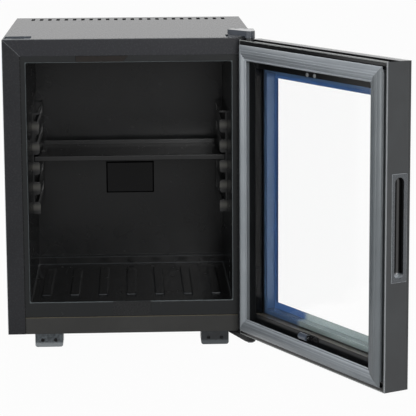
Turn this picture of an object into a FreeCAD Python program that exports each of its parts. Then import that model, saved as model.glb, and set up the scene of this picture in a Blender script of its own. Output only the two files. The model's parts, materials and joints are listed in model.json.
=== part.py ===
import FreeCAD, Part
import math
import os
from types import SimpleNamespace

import Sketcher

# Glass-door minibar fridge with an absorption cooling unit behind its back wall.
# Millimetres and degrees. +X is right, +Y goes into the cabinet, +Z is up.
# The origin is the middle of the cabinet's footprint, on the floor.
# The door's pieces are drawn shut, around the hinge axis, and are then turned open together.

driving_sizes = {
    # cabinet shell
    "case_width": 402.0,
    "case_height": 480.0,
    "case_depth": 416.0,
    "sheet": 1.0,
    "case_bend": 1.5,
    "side_flange": 28.5,
    "top_flange": 27.0,
    "rear_flange": 12.0,
    "rail_height": 27.5,
    "vent_count": 24,
    "vent_pitch_share": 0.03657,
    "vent_width": 6.2,
    "vent_length": 35.0,
    "vent_setback": 40.0,
    "pan_slot_count": 8,
    "pan_slot_pitch_share": 0.0597,
    "pan_slot_width": 8.0,
    "pan_slot_length": 40.0,
    "mitre_width": 0.8,
    "mitre_depth": 0.4,
    "overrun": 2.0,
    "edge_match": 0.001,
    # hinge seats pressed into the top
    "seat_side_gap": 2.0,
    "seat_setback": 4.0,
    "seat_width": 44.0,
    "seat_length": 50.0,
    "seat_drop": 2.5,
    "seat_slot_length": 7.0,
    "seat_slot_width": 20.0,
    "seat_slot_gap": 4.0,
    "seat_play": 0.1,
    # feet
    "foot_height": 22.0,
    "foot_width": 45.0,
    "foot_length": 40.0,
    "foot_setback": 2.0,
    "foot_inset": 66.0,
    "foot_corner": 4.0,
    "foot_screw_spacing": 21.0,
    "foot_screw_height": 11.5,
    "foot_screw_radius": 1.5,
    "foot_screw_length": 12.0,
    "foot_screw_head_radius": 2.8,
    "foot_screw_head": 1.2,
    # liner
    "liner_wall": 1.5,
    "liner_side_strip": 8.5,
    "liner_top_strip": 11.0,
    "liner_bottom_strip": 25.0,
    "liner_tuck": 8.0,
    "liner_corner": 3.0,
    "liner_lip_round": 1.2,
    "cavity_depth_share": 0.7212,
    "rib_count": 7,
    "rib_pitch_share": 0.142,
    "rib_width": 15.5,
    "rib_height": 2.5,
    "rib_corner": 3.0,
    "rib_round": 1.2,
    "rib_start_share": 0.15,
    "rib_length_share": 0.673,
    "floor_step_depth": 15.0,
    "floor_step_height": 14.0,
    # insulation and back plate
    "rear_insulation": 29.5,
    "back_plate": 0.8,
    # drain
    "drain_rear_gap": 35.0,
    "drain_bore": 4.0,
    "drain_wall": 1.5,
    "drain_drop": 24.0,
    "drain_bend": 16.0,
    "drain_outlet": 10.0,
    "tray_width": 120.0,
    "tray_depth_share": 0.793,
    "tray_wall": 1.5,
    "tray_gap": 3.0,
    # cooling block and its cover on the rear wall
    "cover_width": 84.0,
    "cover_height": 55.7,
    "cover_thickness": 4.0,
    "cover_bevel": 2.0,
    "cover_centre_share": 0.3969,
    "block_width": 60.0,
    "block_height": 36.0,
    "block_depth": 20.0,
    # lamp in the top lip
    "lamp_left": 84.0,
    "lamp_right_low": 10.0,
    "lamp_right_high": 1.0,
    "lamp_margin": 1.2,
    "lamp_height": 9.2,
    "lamp_board_length": 60.0,
    "lamp_board_height": 7.0,
    "lamp_board_thickness": 3.0,
    # shelf rails
    "rail_start_share": 0.4833,
    "rail_rear_gap": 6.0,
    "rail_web": 3.0,
    "rung_reach": 12.8,
    "rung_round": 5.0,
    "level_count": 5,
    "level_pitch_share": 0.0878,
    "slot_height": 11.8,
    "lowest_slot_share": 0.3736,
    "rail_foot": 21.0,
    "rail_cap": 3.1,
    # shelf
    "shelf_level_number": 2,
    "shelf_depth_share": 0.44,
    "shelf_plate": 2.5,
    "shelf_lip": 9.0,
    "shelf_wall": 2.5,
    "shelf_side_gap": 0.6,
    "shelf_rest_gap": 0.3,
    "shelf_upstand": 8.0,
    "shelf_upstand_gap": 1.2,
    "shelf_round": 1.0,
    # keeper plate opposite the door's roller
    "keeper_width": 62.0,
    "keeper_height": 23.5,
    "keeper_thickness": 0.8,
    "keeper_corner": 1.0,
    # hinges
    "axis_inset": 9.5,
    "axis_ahead": 24.0,
    "door_open_angle": 117.5,
    "bracket_thickness": 8.5,
    "bracket_stand": 4.0,
    "bracket_root": 2.5,
    "bracket_width": 41.8,
    "bracket_tip_setback": 6.6,
    "bracket_back": 19.0,
    "bracket_back_cut": 7.3,
    "boss_radius": 8.0,
    "boss_drop": 3.0,
    "pin_radius": 3.0,
    "pin_reach": 20.0,
    "pin_head_radius": 5.0,
    "pin_head": 2.0,
    "bush_radius": 4.5,
    "bush_collar_radius": 6.2,
    "bush_reach": 22.0,
    "bush_play": 0.1,
    "bush_gap": 0.3,
    "hinge_screw_radius": 2.0,
    "hinge_screw_length": 16.0,
    "hinge_screw_head_radius": 3.5,
    "hinge_screw_head": 2.0,
    "hinge_screw_spacing": 15.0,
    "hinge_screw_edge": 12.0,
    "hinge_screw_back": 7.0,
    # door
    "door_side_gap": 0.5,
    "door_edge_gap": 1.5,
    "axis_to_face": 27.0,
    "axis_to_lip": 14.5,
    "outer_pane": 4.5,
    "pane_gap": 14.5,
    "inner_pane": 4.0,
    "pane_bevel": 0.5,
    "frame_width": 26.0,
    "frame_wall": 2.0,
    "frame_lip": 4.0,
    "lip_rise": 7.5,
    "groove_depth": 5.0,
    "groove_front": 19.0,
    "groove_back": 37.5,
    "rail_lip": 6.5,
    # glazing unit
    "inner_pane_inset": 36.0,
    "spacer_width": 8.0,
    "spacer_inset": 41.0,
    # inner trim beads
    "trim_tuck": 3.0,
    "trim_rise": 3.0,
    "trim_front_inset": 40.0,
    "trim_sight_inset": 41.5,
    "trim_step": 6.0,
    # gasket
    "gasket_inset": 7.0,
    "gasket_inner_inset": 31.0,
    "gasket_clearance": 0.3,
    "gasket_cushion": 5.2,
    "gasket_round": 1.5,
    "gasket_base_inset": 13.0,
    "gasket_base_width": 9.0,
    "gasket_base_rise": 3.3,
    "magnet_inset": 18.0,
    "magnet_width": 9.6,
    "magnet_thickness": 2.6,
    # grip in the handle-side edge
    "grip_height": 158.0,
    "grip_width": 27.0,
    "grip_plate": 1.0,
    "grip_from_face": 18.2,
    "grip_slot_height": 146.5,
    "grip_slot_width": 15.5,
    "grip_cup_depth": 12.0,
    "grip_cup_wall": 1.5,
    "grip_rim_round": 0.6,
    "grip_floor_round": 5.0,
    # roller catch at the foot of the door
    "catch_inset": 38.0,
    "catch_plate": 1.5,
    "catch_plate_height": 9.0,
    "catch_plate_offset": 21.5,
    "roller_radius": 5.0,
    "roller_length": 20.0,
    "roller_offset": 16.5,
    "roller_rise": 7.2,
    "roller_play": 0.1,
    "roller_side_gap": 0.4,
    "roller_pin_radius": 1.5,
    "ear_thickness": 1.5,
    "ear_over": 2.5,
    "door_screw_radius": 1.5,
    "door_screw_length": 8.0,
    "door_screw_head_radius": 3.2,
    "door_screw_head": 1.8,
    "trim_screw_spacing": 19.7,
    "catch_screw_offset": 16.5,
    # absorption cooling unit
    "unit_share": 0.505,
    "unit_tube": 7.0,
    "unit_bend": 15.0,
    "vessel_radius": 24.0,
    "vessel_round": 12.0,
    "vessel_left_share": 0.6,
    "vessel_right_share": 0.25,
    "vessel_height_share": 0.1333,
    "collar_radius": 9.0,
    "collar_rise": 4.0,
    "jacket_centre_share": 0.55,
    "jacket_width_share": 0.38,
    "jacket_depth_share": 0.865,
    "jacket_foot_share": 0.1958,
    "jacket_height_share": 0.4667,
    "jacket_corner": 8.0,
    "feed_inset": 18.0,
    "heater_radius": 6.0,
    "heater_length": 90.0,
    "heater_head_radius": 8.0,
    "heater_head": 8.0,
    "heater_offset_share": 0.1,
    "lead_radius": 2.5,
    "lead_bend": 7.5,
    "lead_drop": 28.0,
    "condenser_height_share": 0.8542,
    "fin_start_share": 0.54,
    "fin_size": 46.0,
    "fin_thickness": 0.8,
    "fin_pitch_share": 0.04,
    "fin_count": 22,
    "down_pipe_left_share": 0.71,
    "down_pipe_top_share": 0.7875,
    "coil_left_share": 0.52,
    "coil_right_share": 0.285,
    "coil_pitch": 35.0,
    "coil_joint": 12.0,
    # electrical box and inlet
    "box_width_share": 0.25,
    "box_depth_share": 0.721,
    "box_height_share": 0.1542,
    "box_side_gap": 3.0,
    "inlet_width": 28.0,
    "inlet_height": 22.0,
    "inlet_depth": 8.0,
    "inlet_rim": 2.5,
    "inlet_base": 2.0,
    "inlet_pin_radius": 1.2,
    "inlet_pin_spacing": 7.0,
    # straps across the open back
    "strap_height": 20.0,
    "strap_thickness": 2.0,
    "strap_low_share": 0.3292,
    "strap_high_share": 0.6167,
    "strap_screw_inset": 6.0,
    "strap_screw_radius": 2.0,
    "strap_screw_length": 5.0,
    "strap_screw_head_radius": 3.6,
    "strap_screw_head": 1.0,
}


class Size:
    """A length: its formula in the names of the sheet, and its value."""

    def __init__(self, formula, value):
        self.formula = formula
        self.value = value

    def join(self, sign, other, swap=False):
        if not isinstance(other, Size):
            other = Size(repr(other), other)
        left, right = (other, self) if swap else (self, other)
        if sign == "+":
            value = left.value + right.value
        elif sign == "-":
            value = left.value - right.value
        elif sign == "*":
            value = left.value * right.value
        else:
            value = left.value / right.value
        return Size(f"({left.formula} {sign} {right.formula})", value)

    def __add__(self, other):
        return self.join("+", other)

    def __sub__(self, other):
        return self.join("-", other)

    def __mul__(self, other):
        return self.join("*", other)

    def __rmul__(self, other):
        return self.join("*", other, True)

    def __truediv__(self, other):
        return self.join("/", other)

    def __neg__(self):
        return Size(f"(0 - {self.formula})", -self.value)


def root(size):
    return Size(f"sqrt({size.formula})", math.sqrt(size.value))


def fill_sheet():
    """Put the driving sizes on a sheet, one named cell each, and hand them back by name."""
    sheet = doc.addObject("Spreadsheet::Sheet", "Sizes")
    named = {}
    for row, (name, value) in enumerate(driving_sizes.items(), start=1):
        sheet.set(f"A{row}", name)
        sheet.set(f"B{row}", str(value))
        sheet.setAlias(f"B{row}", name)
        named[name] = Size(f"Sizes.{name}", value)
    doc.recompute()
    return SimpleNamespace(**named)


doc = FreeCAD.newDocument("minibar_fridge")
s = fill_sheet()
zero = Size("0", 0.0)
nodes = []


def keep(label, piece):
    """Name a finished piece and list it as one of the part's nodes."""
    piece.Label = label
    nodes.append(piece)
    return piece


# Sketches


def pin_point(sketch, line, end, across, up):
    """Tie one point of a sketch to its two distances from the sketch's origin."""
    for kind, axis, distance in (("DistanceX", -2, across), ("DistanceY", -1, up)):
        if distance is zero:
            sketch.addConstraint(Sketcher.Constraint("PointOnObject", line, end, axis))
            continue
        tie = Sketcher.Constraint(kind, -1, 1, line, end, distance.value)
        index = sketch.addConstraint(tie)
        sketch.setExpression(f"Constraints[{index}]", distance.formula)


def draw_outline(sketch, points):
    """Closed outline of straight lines."""
    first = sketch.GeometryCount
    corners = [FreeCAD.Vector(across.value, up.value, 0) for across, up in points]
    for start, stop in zip(corners, corners[1:] + corners[:1]):
        sketch.addGeometry(Part.LineSegment(start, stop), False)
    for number in range(len(points)):
        following = first + (number + 1) % len(points)
        tie = Sketcher.Constraint("Coincident", first + number, 2, following, 1)
        sketch.addConstraint(tie)
    for number, (across, up) in enumerate(points):
        pin_point(sketch, first + number, 1, across, up)


def draw_circle(sketch, across, up, radius):
    centre = FreeCAD.Vector(across.value, up.value, 0)
    circle = sketch.addGeometry(
        Part.Circle(centre, FreeCAD.Vector(0, 0, 1), radius.value), False
    )
    pin_point(sketch, circle, 3, across, up)
    index = sketch.addConstraint(Sketcher.Constraint("Radius", circle, radius.value))
    sketch.setExpression(f"Constraints[{index}]", radius.formula)


def rectangle(across, up):
    """Corners of a rectangle from its two spans."""
    return [(across[0], up[0]), (across[1], up[0]), (across[1], up[1]), (across[0], up[1])]


def around(centre, size):
    """The span of a size about its centre."""
    return centre - size / 2, centre + size / 2


def mirrored(size):
    """The span from minus a size to plus that size."""
    return -size, size


def on_side(sign, near, far):
    """A span on the right for +1, and the same on the left for -1."""
    return (near, far) if sign > 0 else (-far, -near)


def sketch_on(body, plane, offset, shapes):
    """Sketch in one of the body's own planes, moved along the axis that the plane faces."""
    sketch = body.newObject("Sketcher::SketchObject", "outline")
    support = [each for each in body.Origin.OriginFeatures if each.Role == plane][0]
    sketch.AttachmentSupport = [(support, "")]
    sketch.MapMode = "FlatFace"
    along = -offset if plane == "XZ_Plane" else offset
    sketch.setExpression("AttachmentOffset.Base.z", along.formula)
    for shape in shapes:
        if isinstance(shape, list):
            draw_outline(sketch, shape)
        else:
            draw_circle(sketch, *shape)
    return sketch


def new_body():
    return doc.addObject("PartDesign::Body", "body")


def checked(body, feature, before, grows):
    """Recompute, and make sure that the feature added to the body or took some of it away."""
    body.Tip = feature
    doc.recompute()
    change = feature.Shape.Volume - before
    if (change <= 0) if grows else (change >= 0):
        raise RuntimeError(f"{body.Name}: {feature.Name} changed nothing")
    return feature


def volume_so_far(body):
    return body.Tip.Shape.Volume if body.Tip else 0.0


def pad(body, plane, span, *shapes):
    """Material between two places along the axis that the plane faces."""
    before = volume_so_far(body)
    profile = sketch_on(body, plane, span[0], shapes)
    feature = body.newObject("PartDesign::Pad", "pad")
    feature.Profile = profile
    feature.setExpression("Length", (span[1] - span[0]).formula)
    feature.Reversed = plane == "XZ_Plane"
    return checked(body, feature, before, True)


def pocket(body, plane, span, *shapes):
    """Take material away between two places along the axis that the plane faces."""
    before = volume_so_far(body)
    profile = sketch_on(body, plane, span[0], shapes)
    feature = body.newObject("PartDesign::Pocket", "pocket")
    feature.Profile = profile
    feature.setExpression("Length", (span[1] - span[0]).formula)
    feature.Reversed = plane != "XZ_Plane"
    return checked(body, feature, before, False)


def repeat(body, axis, pitch, count, grows):
    """A row of copies of the body's last feature, along one of its own axes."""
    feature = body.Tip
    pattern = body.newObject("PartDesign::LinearPattern", "row")
    pattern.Originals = [feature]
    direction = [each for each in body.Origin.OriginFeatures if each.Role == axis][0]
    pattern.Direction = (direction, [""])
    pattern.setExpression("Length", (pitch * (count - 1)).formula)
    pattern.setExpression("Occurrences", count.formula)
    return checked(body, pattern, feature.Shape.Volume, grows)


def dress_edges(body, kind, field, size, chosen):
    """Round or bevel the edges of the body that the function picks."""
    base = body.Tip
    names = [f"Edge{n}" for n, edge in enumerate(base.Shape.Edges, start=1) if chosen(edge)]
    if not names:
        raise RuntimeError(f"{body.Name}: no edge to dress")
    feature = body.newObject(kind, "edges")
    feature.Base = (base, names)
    feature.setExpression(field, size.formula)
    body.Tip = feature
    doc.recompute()
    return feature


def round_edges(body, radius, chosen):
    return dress_edges(body, "PartDesign::Fillet", "Radius", radius, chosen)


def bevel_edges(body, width, chosen):
    return dress_edges(body, "PartDesign::Chamfer", "Size", width, chosen)


def at(edge, **places):
    """True for an edge that lies all along at the given x, y or z."""
    box = edge.BoundBox
    spans = {"x": (box.XMin, box.XMax), "y": (box.YMin, box.YMax), "z": (box.ZMin, box.ZMax)}
    return all(
        math.isclose(end, size.value, rel_tol=0, abs_tol=s.edge_match.value)
        for name, size in places.items()
        for end in spans[name]
    )


# Plain solids


def place(piece, x, y, z, rotation=None):
    piece.Placement = FreeCAD.Placement(
        FreeCAD.Vector(x.value, y.value, z.value), rotation or FreeCAD.Rotation()
    )
    for axis, value in (("x", x), ("y", y), ("z", z)):
        piece.setExpression(f"Placement.Base.{axis}", value.formula)


def block(x, y, z):
    """Box from its spans along the three axes."""
    piece = doc.addObject("Part::Box", "block")
    for name, span in (("Length", x), ("Width", y), ("Height", z)):
        piece.setExpression(name, (span[1] - span[0]).formula)
    place(piece, x[0], y[0], z[0])
    return piece


def rod(axis, centre, span, radius):
    """Round bar along X, Y or Z. The centre gives its other two coordinates, in order."""
    piece = doc.addObject("Part::Cylinder", "rod")
    piece.setExpression("Radius", radius.formula)
    piece.setExpression("Height", (span[1] - span[0]).formula)
    if axis == "X":
        turned = FreeCAD.Rotation(FreeCAD.Vector(0, 1, 0), 90)
        place(piece, span[0], centre[0], centre[1], turned)
    elif axis == "Y":
        turned = FreeCAD.Rotation(FreeCAD.Vector(1, 0, 0), -90)
        place(piece, centre[0], span[0], centre[1], turned)
    else:
        place(piece, centre[0], centre[1], span[0])
    return piece


def fuse(*pieces):
    if len(pieces) == 1:
        return pieces[0]
    whole = doc.addObject("Part::MultiFuse", "joined")
    whole.Shapes = list(pieces)
    whole.Refine = True
    return whole


def cut(piece, *tools):
    rest = doc.addObject("Part::Cut", "cut")
    rest.Base = piece
    rest.Tool = fuse(*tools)
    rest.Refine = True
    return rest


def group(*pieces):
    """Separate solids that share one node."""
    together = doc.addObject("Part::Compound", "group")
    together.Links = list(pieces)
    return together


def screw(axis, centre, seat, sign, shank, length, head, height):
    """Flat-headed screw. Its head stands on the seat, and its shank goes the sign's way."""
    spans = ((seat, seat + length), (seat - height, seat))
    if sign < 0:
        spans = ((seat - length, seat), (seat, seat + height))
    return fuse(rod(axis, centre, spans[0], shank), rod(axis, centre, spans[1], head))


def bent_bar(points, bend, radius):
    """Round bar along straight runs, with an arc of one radius at each turn."""
    corners = [FreeCAD.Vector(*(each.value for each in point)) for point in points]
    path = []
    start = corners[0]
    for before, corner, after in zip(corners, corners[1:], corners[2:]):
        back = (before - corner).normalize()
        onward = (after - corner).normalize()
        half_angle = back.getAngle(onward) / 2
        reach = bend.value / math.tan(half_angle)
        to_middle = bend.value / math.sin(half_angle) - bend.value
        middle = corner + (back + onward).normalize() * to_middle
        path.append(Part.LineSegment(start, corner + back * reach).toShape())
        arc = Part.Arc(corner + back * reach, middle, corner + onward * reach)
        path.append(arc.toShape())
        start = corner + onward * reach
    path.append(Part.LineSegment(start, corners[-1]).toShape())
    along = (corners[1] - corners[0]).normalize()
    section = Part.Wire([Part.Circle(corners[0], along, radius.value).toShape()])
    piece = doc.addObject("Part::Feature", "bent_bar")
    piece.Shape = Part.Wire(path).makePipeShell([section], True, False)
    return piece


# Places that many pieces share

half_width = s.case_width / 2
inside = half_width - s.sheet
front = -s.case_depth / 2
rear = s.case_depth / 2
base = s.foot_height
top = base + s.case_height
face = front + s.sheet
rail_top = base + s.rail_height
sill = rail_top + s.liner_bottom_strip
lintel = top - s.top_flange - s.liner_top_strip
jamb = half_width - s.side_flange - s.liner_side_strip
cavity_width = 2 * jamb
cavity_height = lintel - sill
cavity_depth = s.case_depth * s.cavity_depth_share
cavity_rear = front + cavity_depth
box_rear = cavity_rear + s.liner_wall + s.rear_insulation
bay_front = box_rear + s.back_plate
bay_depth = rear - s.sheet - bay_front
unit_y = bay_front + bay_depth * s.unit_share
hinge_x = half_width - s.axis_inset
hinge_y = front - s.axis_ahead
cooling_z = sill + cavity_height * s.cover_centre_share


# Cabinet shell


def arch(leg, head):
    """Upside-down U as wide and as high as the case."""
    return [
        (-half_width, base),
        (-half_width, top),
        (half_width, top),
        (half_width, base),
        (half_width - leg, base),
        (half_width - leg, top - head),
        (leg - half_width, top - head),
        (leg - half_width, base),
    ]


def seat_spans(sign):
    """Where a hinge seat lies in the top, seen from above."""
    outer = half_width - s.seat_side_gap
    near = front + s.seat_setback
    return on_side(sign, outer - s.seat_width, outer), (near, near + s.seat_length)


def mitre_outlines():
    """Seams in the two front corners, where the side flanges meet the top flange."""
    reach = half_width + s.overrun
    high = top + s.overrun
    inner = (half_width - s.side_flange - s.overrun, top - s.top_flange - s.overrun)
    return [
        [
            (sign * reach, high),
            (sign * inner[0], inner[1]),
            (sign * inner[0], inner[1] - s.mitre_width),
            (sign * reach, high - s.mitre_width),
        ]
        for sign in (-1, 1)
    ]


def make_outer_case():
    body = new_body()
    pad(body, "XZ_Plane", (front, rear), arch(s.sheet, s.sheet))
    pad(body, "XZ_Plane", (front, face), arch(s.side_flange, s.top_flange))
    pad(body, "XZ_Plane", (rear - s.sheet, rear), arch(s.rear_flange, s.rear_flange))
    round_edges(body, s.case_bend, lambda edge: (
        at(edge, y=front, z=top)
        or at(edge, x=half_width, z=top) or at(edge, x=-half_width, z=top)
        or at(edge, x=half_width, y=front) or at(edge, x=-half_width, y=front)
    ))
    through = (top - s.sheet - s.overrun, top + s.overrun)
    seats = [rectangle(*seat_spans(sign)) for sign in (-1, 1)]
    pocket(body, "XY_Plane", through, *seats)
    pitch = s.case_width * s.vent_pitch_share
    first = -pitch * (s.vent_count - 1) / 2
    vent = rectangle(
        around(first, s.vent_width), around(rear - s.vent_setback, s.vent_length)
    )
    pocket(body, "XY_Plane", through, vent)
    repeat(body, "X_Axis", pitch, s.vent_count, False)
    screw_holes = [
        (sign * (half_width - s.strap_screw_inset), height, s.strap_screw_radius)
        for sign in (-1, 1)
        for height in strap_heights
    ]
    pocket(body, "XZ_Plane", (rear - s.sheet - s.overrun, rear + s.overrun), *screw_holes)
    pocket(body, "XZ_Plane", (front - s.overrun, front + s.mitre_depth), *mitre_outlines())
    return keep("outer_case", body)


def make_base_pan():
    body = new_body()
    pad(body, "XY_Plane", (base, base + s.sheet), rectangle(mirrored(inside), (face, rear - s.sheet)))
    pad(body, "XZ_Plane", (face, face + s.sheet), rectangle(mirrored(inside), (base, rail_top)))
    shelf = rectangle(mirrored(inside), (face, face + s.liner_tuck))
    pad(body, "XY_Plane", (rail_top - s.sheet, rail_top), shelf)
    pitch = s.case_width * s.pan_slot_pitch_share
    first = -pitch * (s.pan_slot_count - 1) / 2
    slot = rectangle(around(first, s.pan_slot_width), around(unit_y, s.pan_slot_length))
    pocket(body, "XY_Plane", (base - s.overrun, base + s.sheet + s.overrun), slot)
    repeat(body, "X_Axis", pitch, s.pan_slot_count, False)
    return cut(body, hinge_screws)


def make_hinge_seat(side, sign):
    """Pressed pan that fills a hole in the top and takes the hinge's foot."""
    across, along = seat_spans(sign)
    floor = top - s.seat_drop
    shell = block(across, along, (floor - s.sheet, top))
    hollow = block(
        (across[0] + s.sheet, across[1] - s.sheet),
        (along[0] + s.sheet, along[1] - s.sheet),
        (floor, top + s.overrun),
    )
    tools = [hollow]
    for number in (0, 1):
        start = along[1] - s.seat_slot_gap - (number + 1) * (s.seat_slot_length + s.seat_slot_gap)
        span = (start, start + s.seat_slot_length)
        middle = (across[0] + across[1]) / 2
        depth = (floor - s.sheet - s.overrun, floor + s.overrun)
        tools.append(block(around(middle, s.seat_slot_width), span, depth))
    if sign > 0:
        tools.append(hinge_screws)
    return keep(f"hinge_seat_{side}", cut(shell, *tools))


# Feet


def make_foot(place_name, side, near, sign):
    """Moulded foot with the two screws that hold it, on the side of it that shows."""
    body = new_body()
    middle = sign * (half_width - s.foot_inset)
    outline = rectangle(around(middle, s.foot_width), (zero, s.foot_height))
    pad(body, "XZ_Plane", near, outline)
    corners = around(middle, s.foot_width)
    round_edges(body, s.foot_corner, lambda edge: (
        at(edge, x=corners[0], z=zero) or at(edge, x=corners[1], z=zero)
    ))
    holes = []
    if place_name == "front":
        seat, way = near[0], 1
        span = (seat - s.overrun, seat + s.foot_screw_length)
    else:
        seat, way = near[1], -1
        span = (seat - s.foot_screw_length, seat + s.overrun)
    for across in around(middle, s.foot_screw_spacing):
        holes.append((across, s.foot_screw_height, s.foot_screw_radius))
        foot_screws.append(screw(
            "Y", (across, s.foot_screw_height), seat, way,
            s.foot_screw_radius, s.foot_screw_length,
            s.foot_screw_head_radius, s.foot_screw_head,
        ))
    pocket(body, "XZ_Plane", span, *holes)
    return keep(f"foot_{place_name}_{side}", body)


# Liner, insulation and what sits in them


def lamp_outline():
    low = lintel + s.lamp_margin
    high = low + s.lamp_height
    return [
        (-s.lamp_left, low),
        (-s.lamp_right_low, low),
        (-s.lamp_right_high, high),
        (-s.lamp_left, high),
    ]


def make_inner_liner():
    body = new_body()
    opening = rectangle(mirrored(jamb), (sill, lintel))
    wall = s.liner_wall
    tub = rectangle(mirrored(jamb + wall), (sill - wall, lintel + wall))
    wide = mirrored(jamb + s.liner_side_strip + s.liner_tuck)
    flange = rectangle(wide, (rail_top, lintel + s.liner_top_strip + s.liner_tuck))
    pad(body, "XZ_Plane", (face, face + wall), flange, opening)
    pad(body, "XZ_Plane", (face, cavity_rear), tub, opening)
    pad(body, "XZ_Plane", (cavity_rear, cavity_rear + wall), tub)
    round_edges(body, s.liner_corner, lambda edge: any(
        at(edge, x=x, z=z) for x in mirrored(jamb) for z in (sill, lintel)
    ))
    limits = (jamb + wall, sill - wall, lintel + wall)
    round_edges(body, s.liner_lip_round, lambda edge: (
        at(edge, y=face)
        and max(abs(edge.BoundBox.XMin), abs(edge.BoundBox.XMax)) < limits[0].value
        and edge.BoundBox.ZMin > limits[1].value
        and edge.BoundBox.ZMax < limits[2].value
    ))
    near = front + cavity_depth * s.rib_start_share
    far = near + cavity_depth * s.rib_length_share
    pitch = cavity_width * s.rib_pitch_share
    first = -pitch * (s.rib_count - 1) / 2
    rib = rectangle(around(first, s.rib_width), (near, far))
    pad(body, "XY_Plane", (sill, sill + s.rib_height), rib)
    repeat(body, "X_Axis", pitch, s.rib_count, True)
    rib_top = sill + s.rib_height
    round_edges(body, s.rib_corner, lambda edge: (
        (at(edge, y=near) or at(edge, y=far))
        and math.isclose(edge.BoundBox.ZLength, s.rib_height.value, abs_tol=s.edge_match.value)
    ))
    round_edges(body, s.rib_round, lambda edge: at(edge, z=rib_top))
    step = rectangle(mirrored(jamb), (cavity_rear - s.floor_step_depth, cavity_rear))
    pad(body, "XY_Plane", (sill, sill + s.floor_step_height), step)
    drain = (zero, cavity_rear - s.drain_rear_gap, s.drain_bore)
    pocket(body, "XY_Plane", (sill - wall - s.overrun, sill + s.overrun), drain)
    window = rectangle(around(zero, s.block_width), around(cooling_z, s.block_height))
    pocket(body, "XZ_Plane", (cavity_rear - s.overrun, cavity_rear + wall + s.overrun), window)
    pocket(body, "XZ_Plane", (face - s.overrun, face + wall + s.overrun), lamp_outline())
    return keep("inner_liner", body)


def drain_points():
    y = cavity_rear - s.drain_rear_gap
    low = sill - s.liner_wall - s.drain_drop
    return [(zero, y, sill - s.liner_wall), (zero, y, low), (zero, bay_front + s.drain_outlet, low)]


def make_drain():
    outer = bent_bar(drain_points(), s.drain_bend, s.drain_bore + s.drain_wall)
    keep("drain_tube", cut(outer, bent_bar(drain_points(), s.drain_bend, s.drain_bore)))
    near = bay_front + s.tray_wall
    y = (near, near + bay_depth * s.tray_depth_share)
    tray_top = drain_points()[1][2] - s.drain_bore - s.drain_wall - s.tray_gap
    x = around(zero, s.tray_width)
    hollow = block(
        (x[0] + s.tray_wall, x[1] - s.tray_wall),
        (y[0] + s.tray_wall, y[1] - s.tray_wall),
        (base + s.sheet + s.tray_wall, tray_top + s.overrun),
    )
    keep("drip_tray", cut(block(x, y, (base + s.sheet, tray_top)), hollow))
    return outer


def make_lamp():
    body = new_body()
    pad(body, "XZ_Plane", (face, face + s.liner_wall), lamp_outline())
    keep("lamp_lens", body)
    middle = -(s.lamp_left + s.lamp_right_low) / 2
    height = lintel + s.lamp_margin + s.lamp_height / 2
    back = face + s.liner_wall
    board = block(
        around(middle, s.lamp_board_length),
        (back, back + s.lamp_board_thickness),
        around(height, s.lamp_board_height),
    )
    return keep("lamp_board", board)


def make_cover():
    body = new_body()
    plate_front = cavity_rear - s.cover_thickness
    outline = rectangle(around(zero, s.cover_width), around(cooling_z, s.cover_height))
    pad(body, "XZ_Plane", (plate_front, cavity_rear), outline)
    bevel_edges(body, s.cover_bevel, lambda edge: at(edge, y=plate_front))
    keep("rear_wall_cover", body)


def make_keeper():
    body = new_body()
    outline = rectangle(around(zero, s.keeper_width), (sill - s.keeper_height, sill))
    pad(body, "XZ_Plane", (face - s.keeper_thickness, face), outline)
    ends = around(zero, s.keeper_width)
    round_edges(body, s.keeper_corner, lambda edge: any(
        at(edge, x=x, z=z) for x in ends for z in (sill - s.keeper_height, sill)
    ))
    keep("keeper_plate", body)


def make_insulation(tube, drain, board, block_node):
    """Foam that fills the space between the case, the liner and the back plate."""
    whole = block(mirrored(inside), (face, box_rear), (base + s.sheet, top - s.sheet))
    wall = s.liner_wall
    tub = block(mirrored(jamb + wall), (face, cavity_rear + wall), (sill - wall, lintel + wall))
    flange = block(
        mirrored(jamb + s.liner_side_strip + s.liner_tuck),
        (face, face + wall),
        (rail_top, lintel + s.liner_top_strip + s.liner_tuck),
    )
    rail = block(mirrored(inside), (face, face + s.sheet), (base, rail_top))
    lip = block(mirrored(inside), (face, face + s.liner_tuck), (rail_top - s.sheet, rail_top))
    seats = [
        block(*seat_spans(sign), (top - s.seat_drop - s.sheet, top)) for sign in (-1, 1)
    ]
    tools = [tub, flange, rail, lip, *seats, tube, drain, board, block_node, hinge_screws]
    keep("insulation_foam", cut(whole, *tools))


# Shelf and its rails


def slot_centre(level):
    return sill + cavity_height * (s.lowest_slot_share + level * s.level_pitch_share)


rails_front = front + cavity_depth * s.rail_start_share
shelf_depth = cavity_depth * s.shelf_depth_share


def make_rail(side, sign):
    """Side rail with a row of slots, each of which can take the shelf."""
    body = new_body()
    inner = jamb - s.rung_reach
    near = rails_front
    far = cavity_rear - s.rail_rear_gap
    half_slot = s.slot_height / 2
    low = slot_centre(zero) - half_slot - s.rail_foot
    high = slot_centre(s.level_count - 1) + half_slot + s.rail_cap
    pad(body, "XZ_Plane", (near, far), rectangle(on_side(sign, inner, jamb), (low, high)))
    depth = (near - s.overrun, near + shelf_depth + s.shelf_rest_gap)
    mouth = on_side(sign, inner - s.overrun, jamb - s.rail_web)
    pocket(body, "XZ_Plane", depth, rectangle(mouth, around(slot_centre(zero), s.slot_height)))
    repeat(body, "Z_Axis", cavity_height * s.level_pitch_share, s.level_count, False)
    last = high - s.rail_cap
    round_edges(body, s.rung_round, lambda edge: (
        at(edge, x=sign * inner)
        and edge.BoundBox.YLength > s.slot_height.value
        and edge.BoundBox.ZLength < s.sheet.value
        and low.value + s.sheet.value < edge.BoundBox.ZMin < last.value - s.sheet.value
    ))
    keep(f"shelf_rail_{side}", body)


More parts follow.
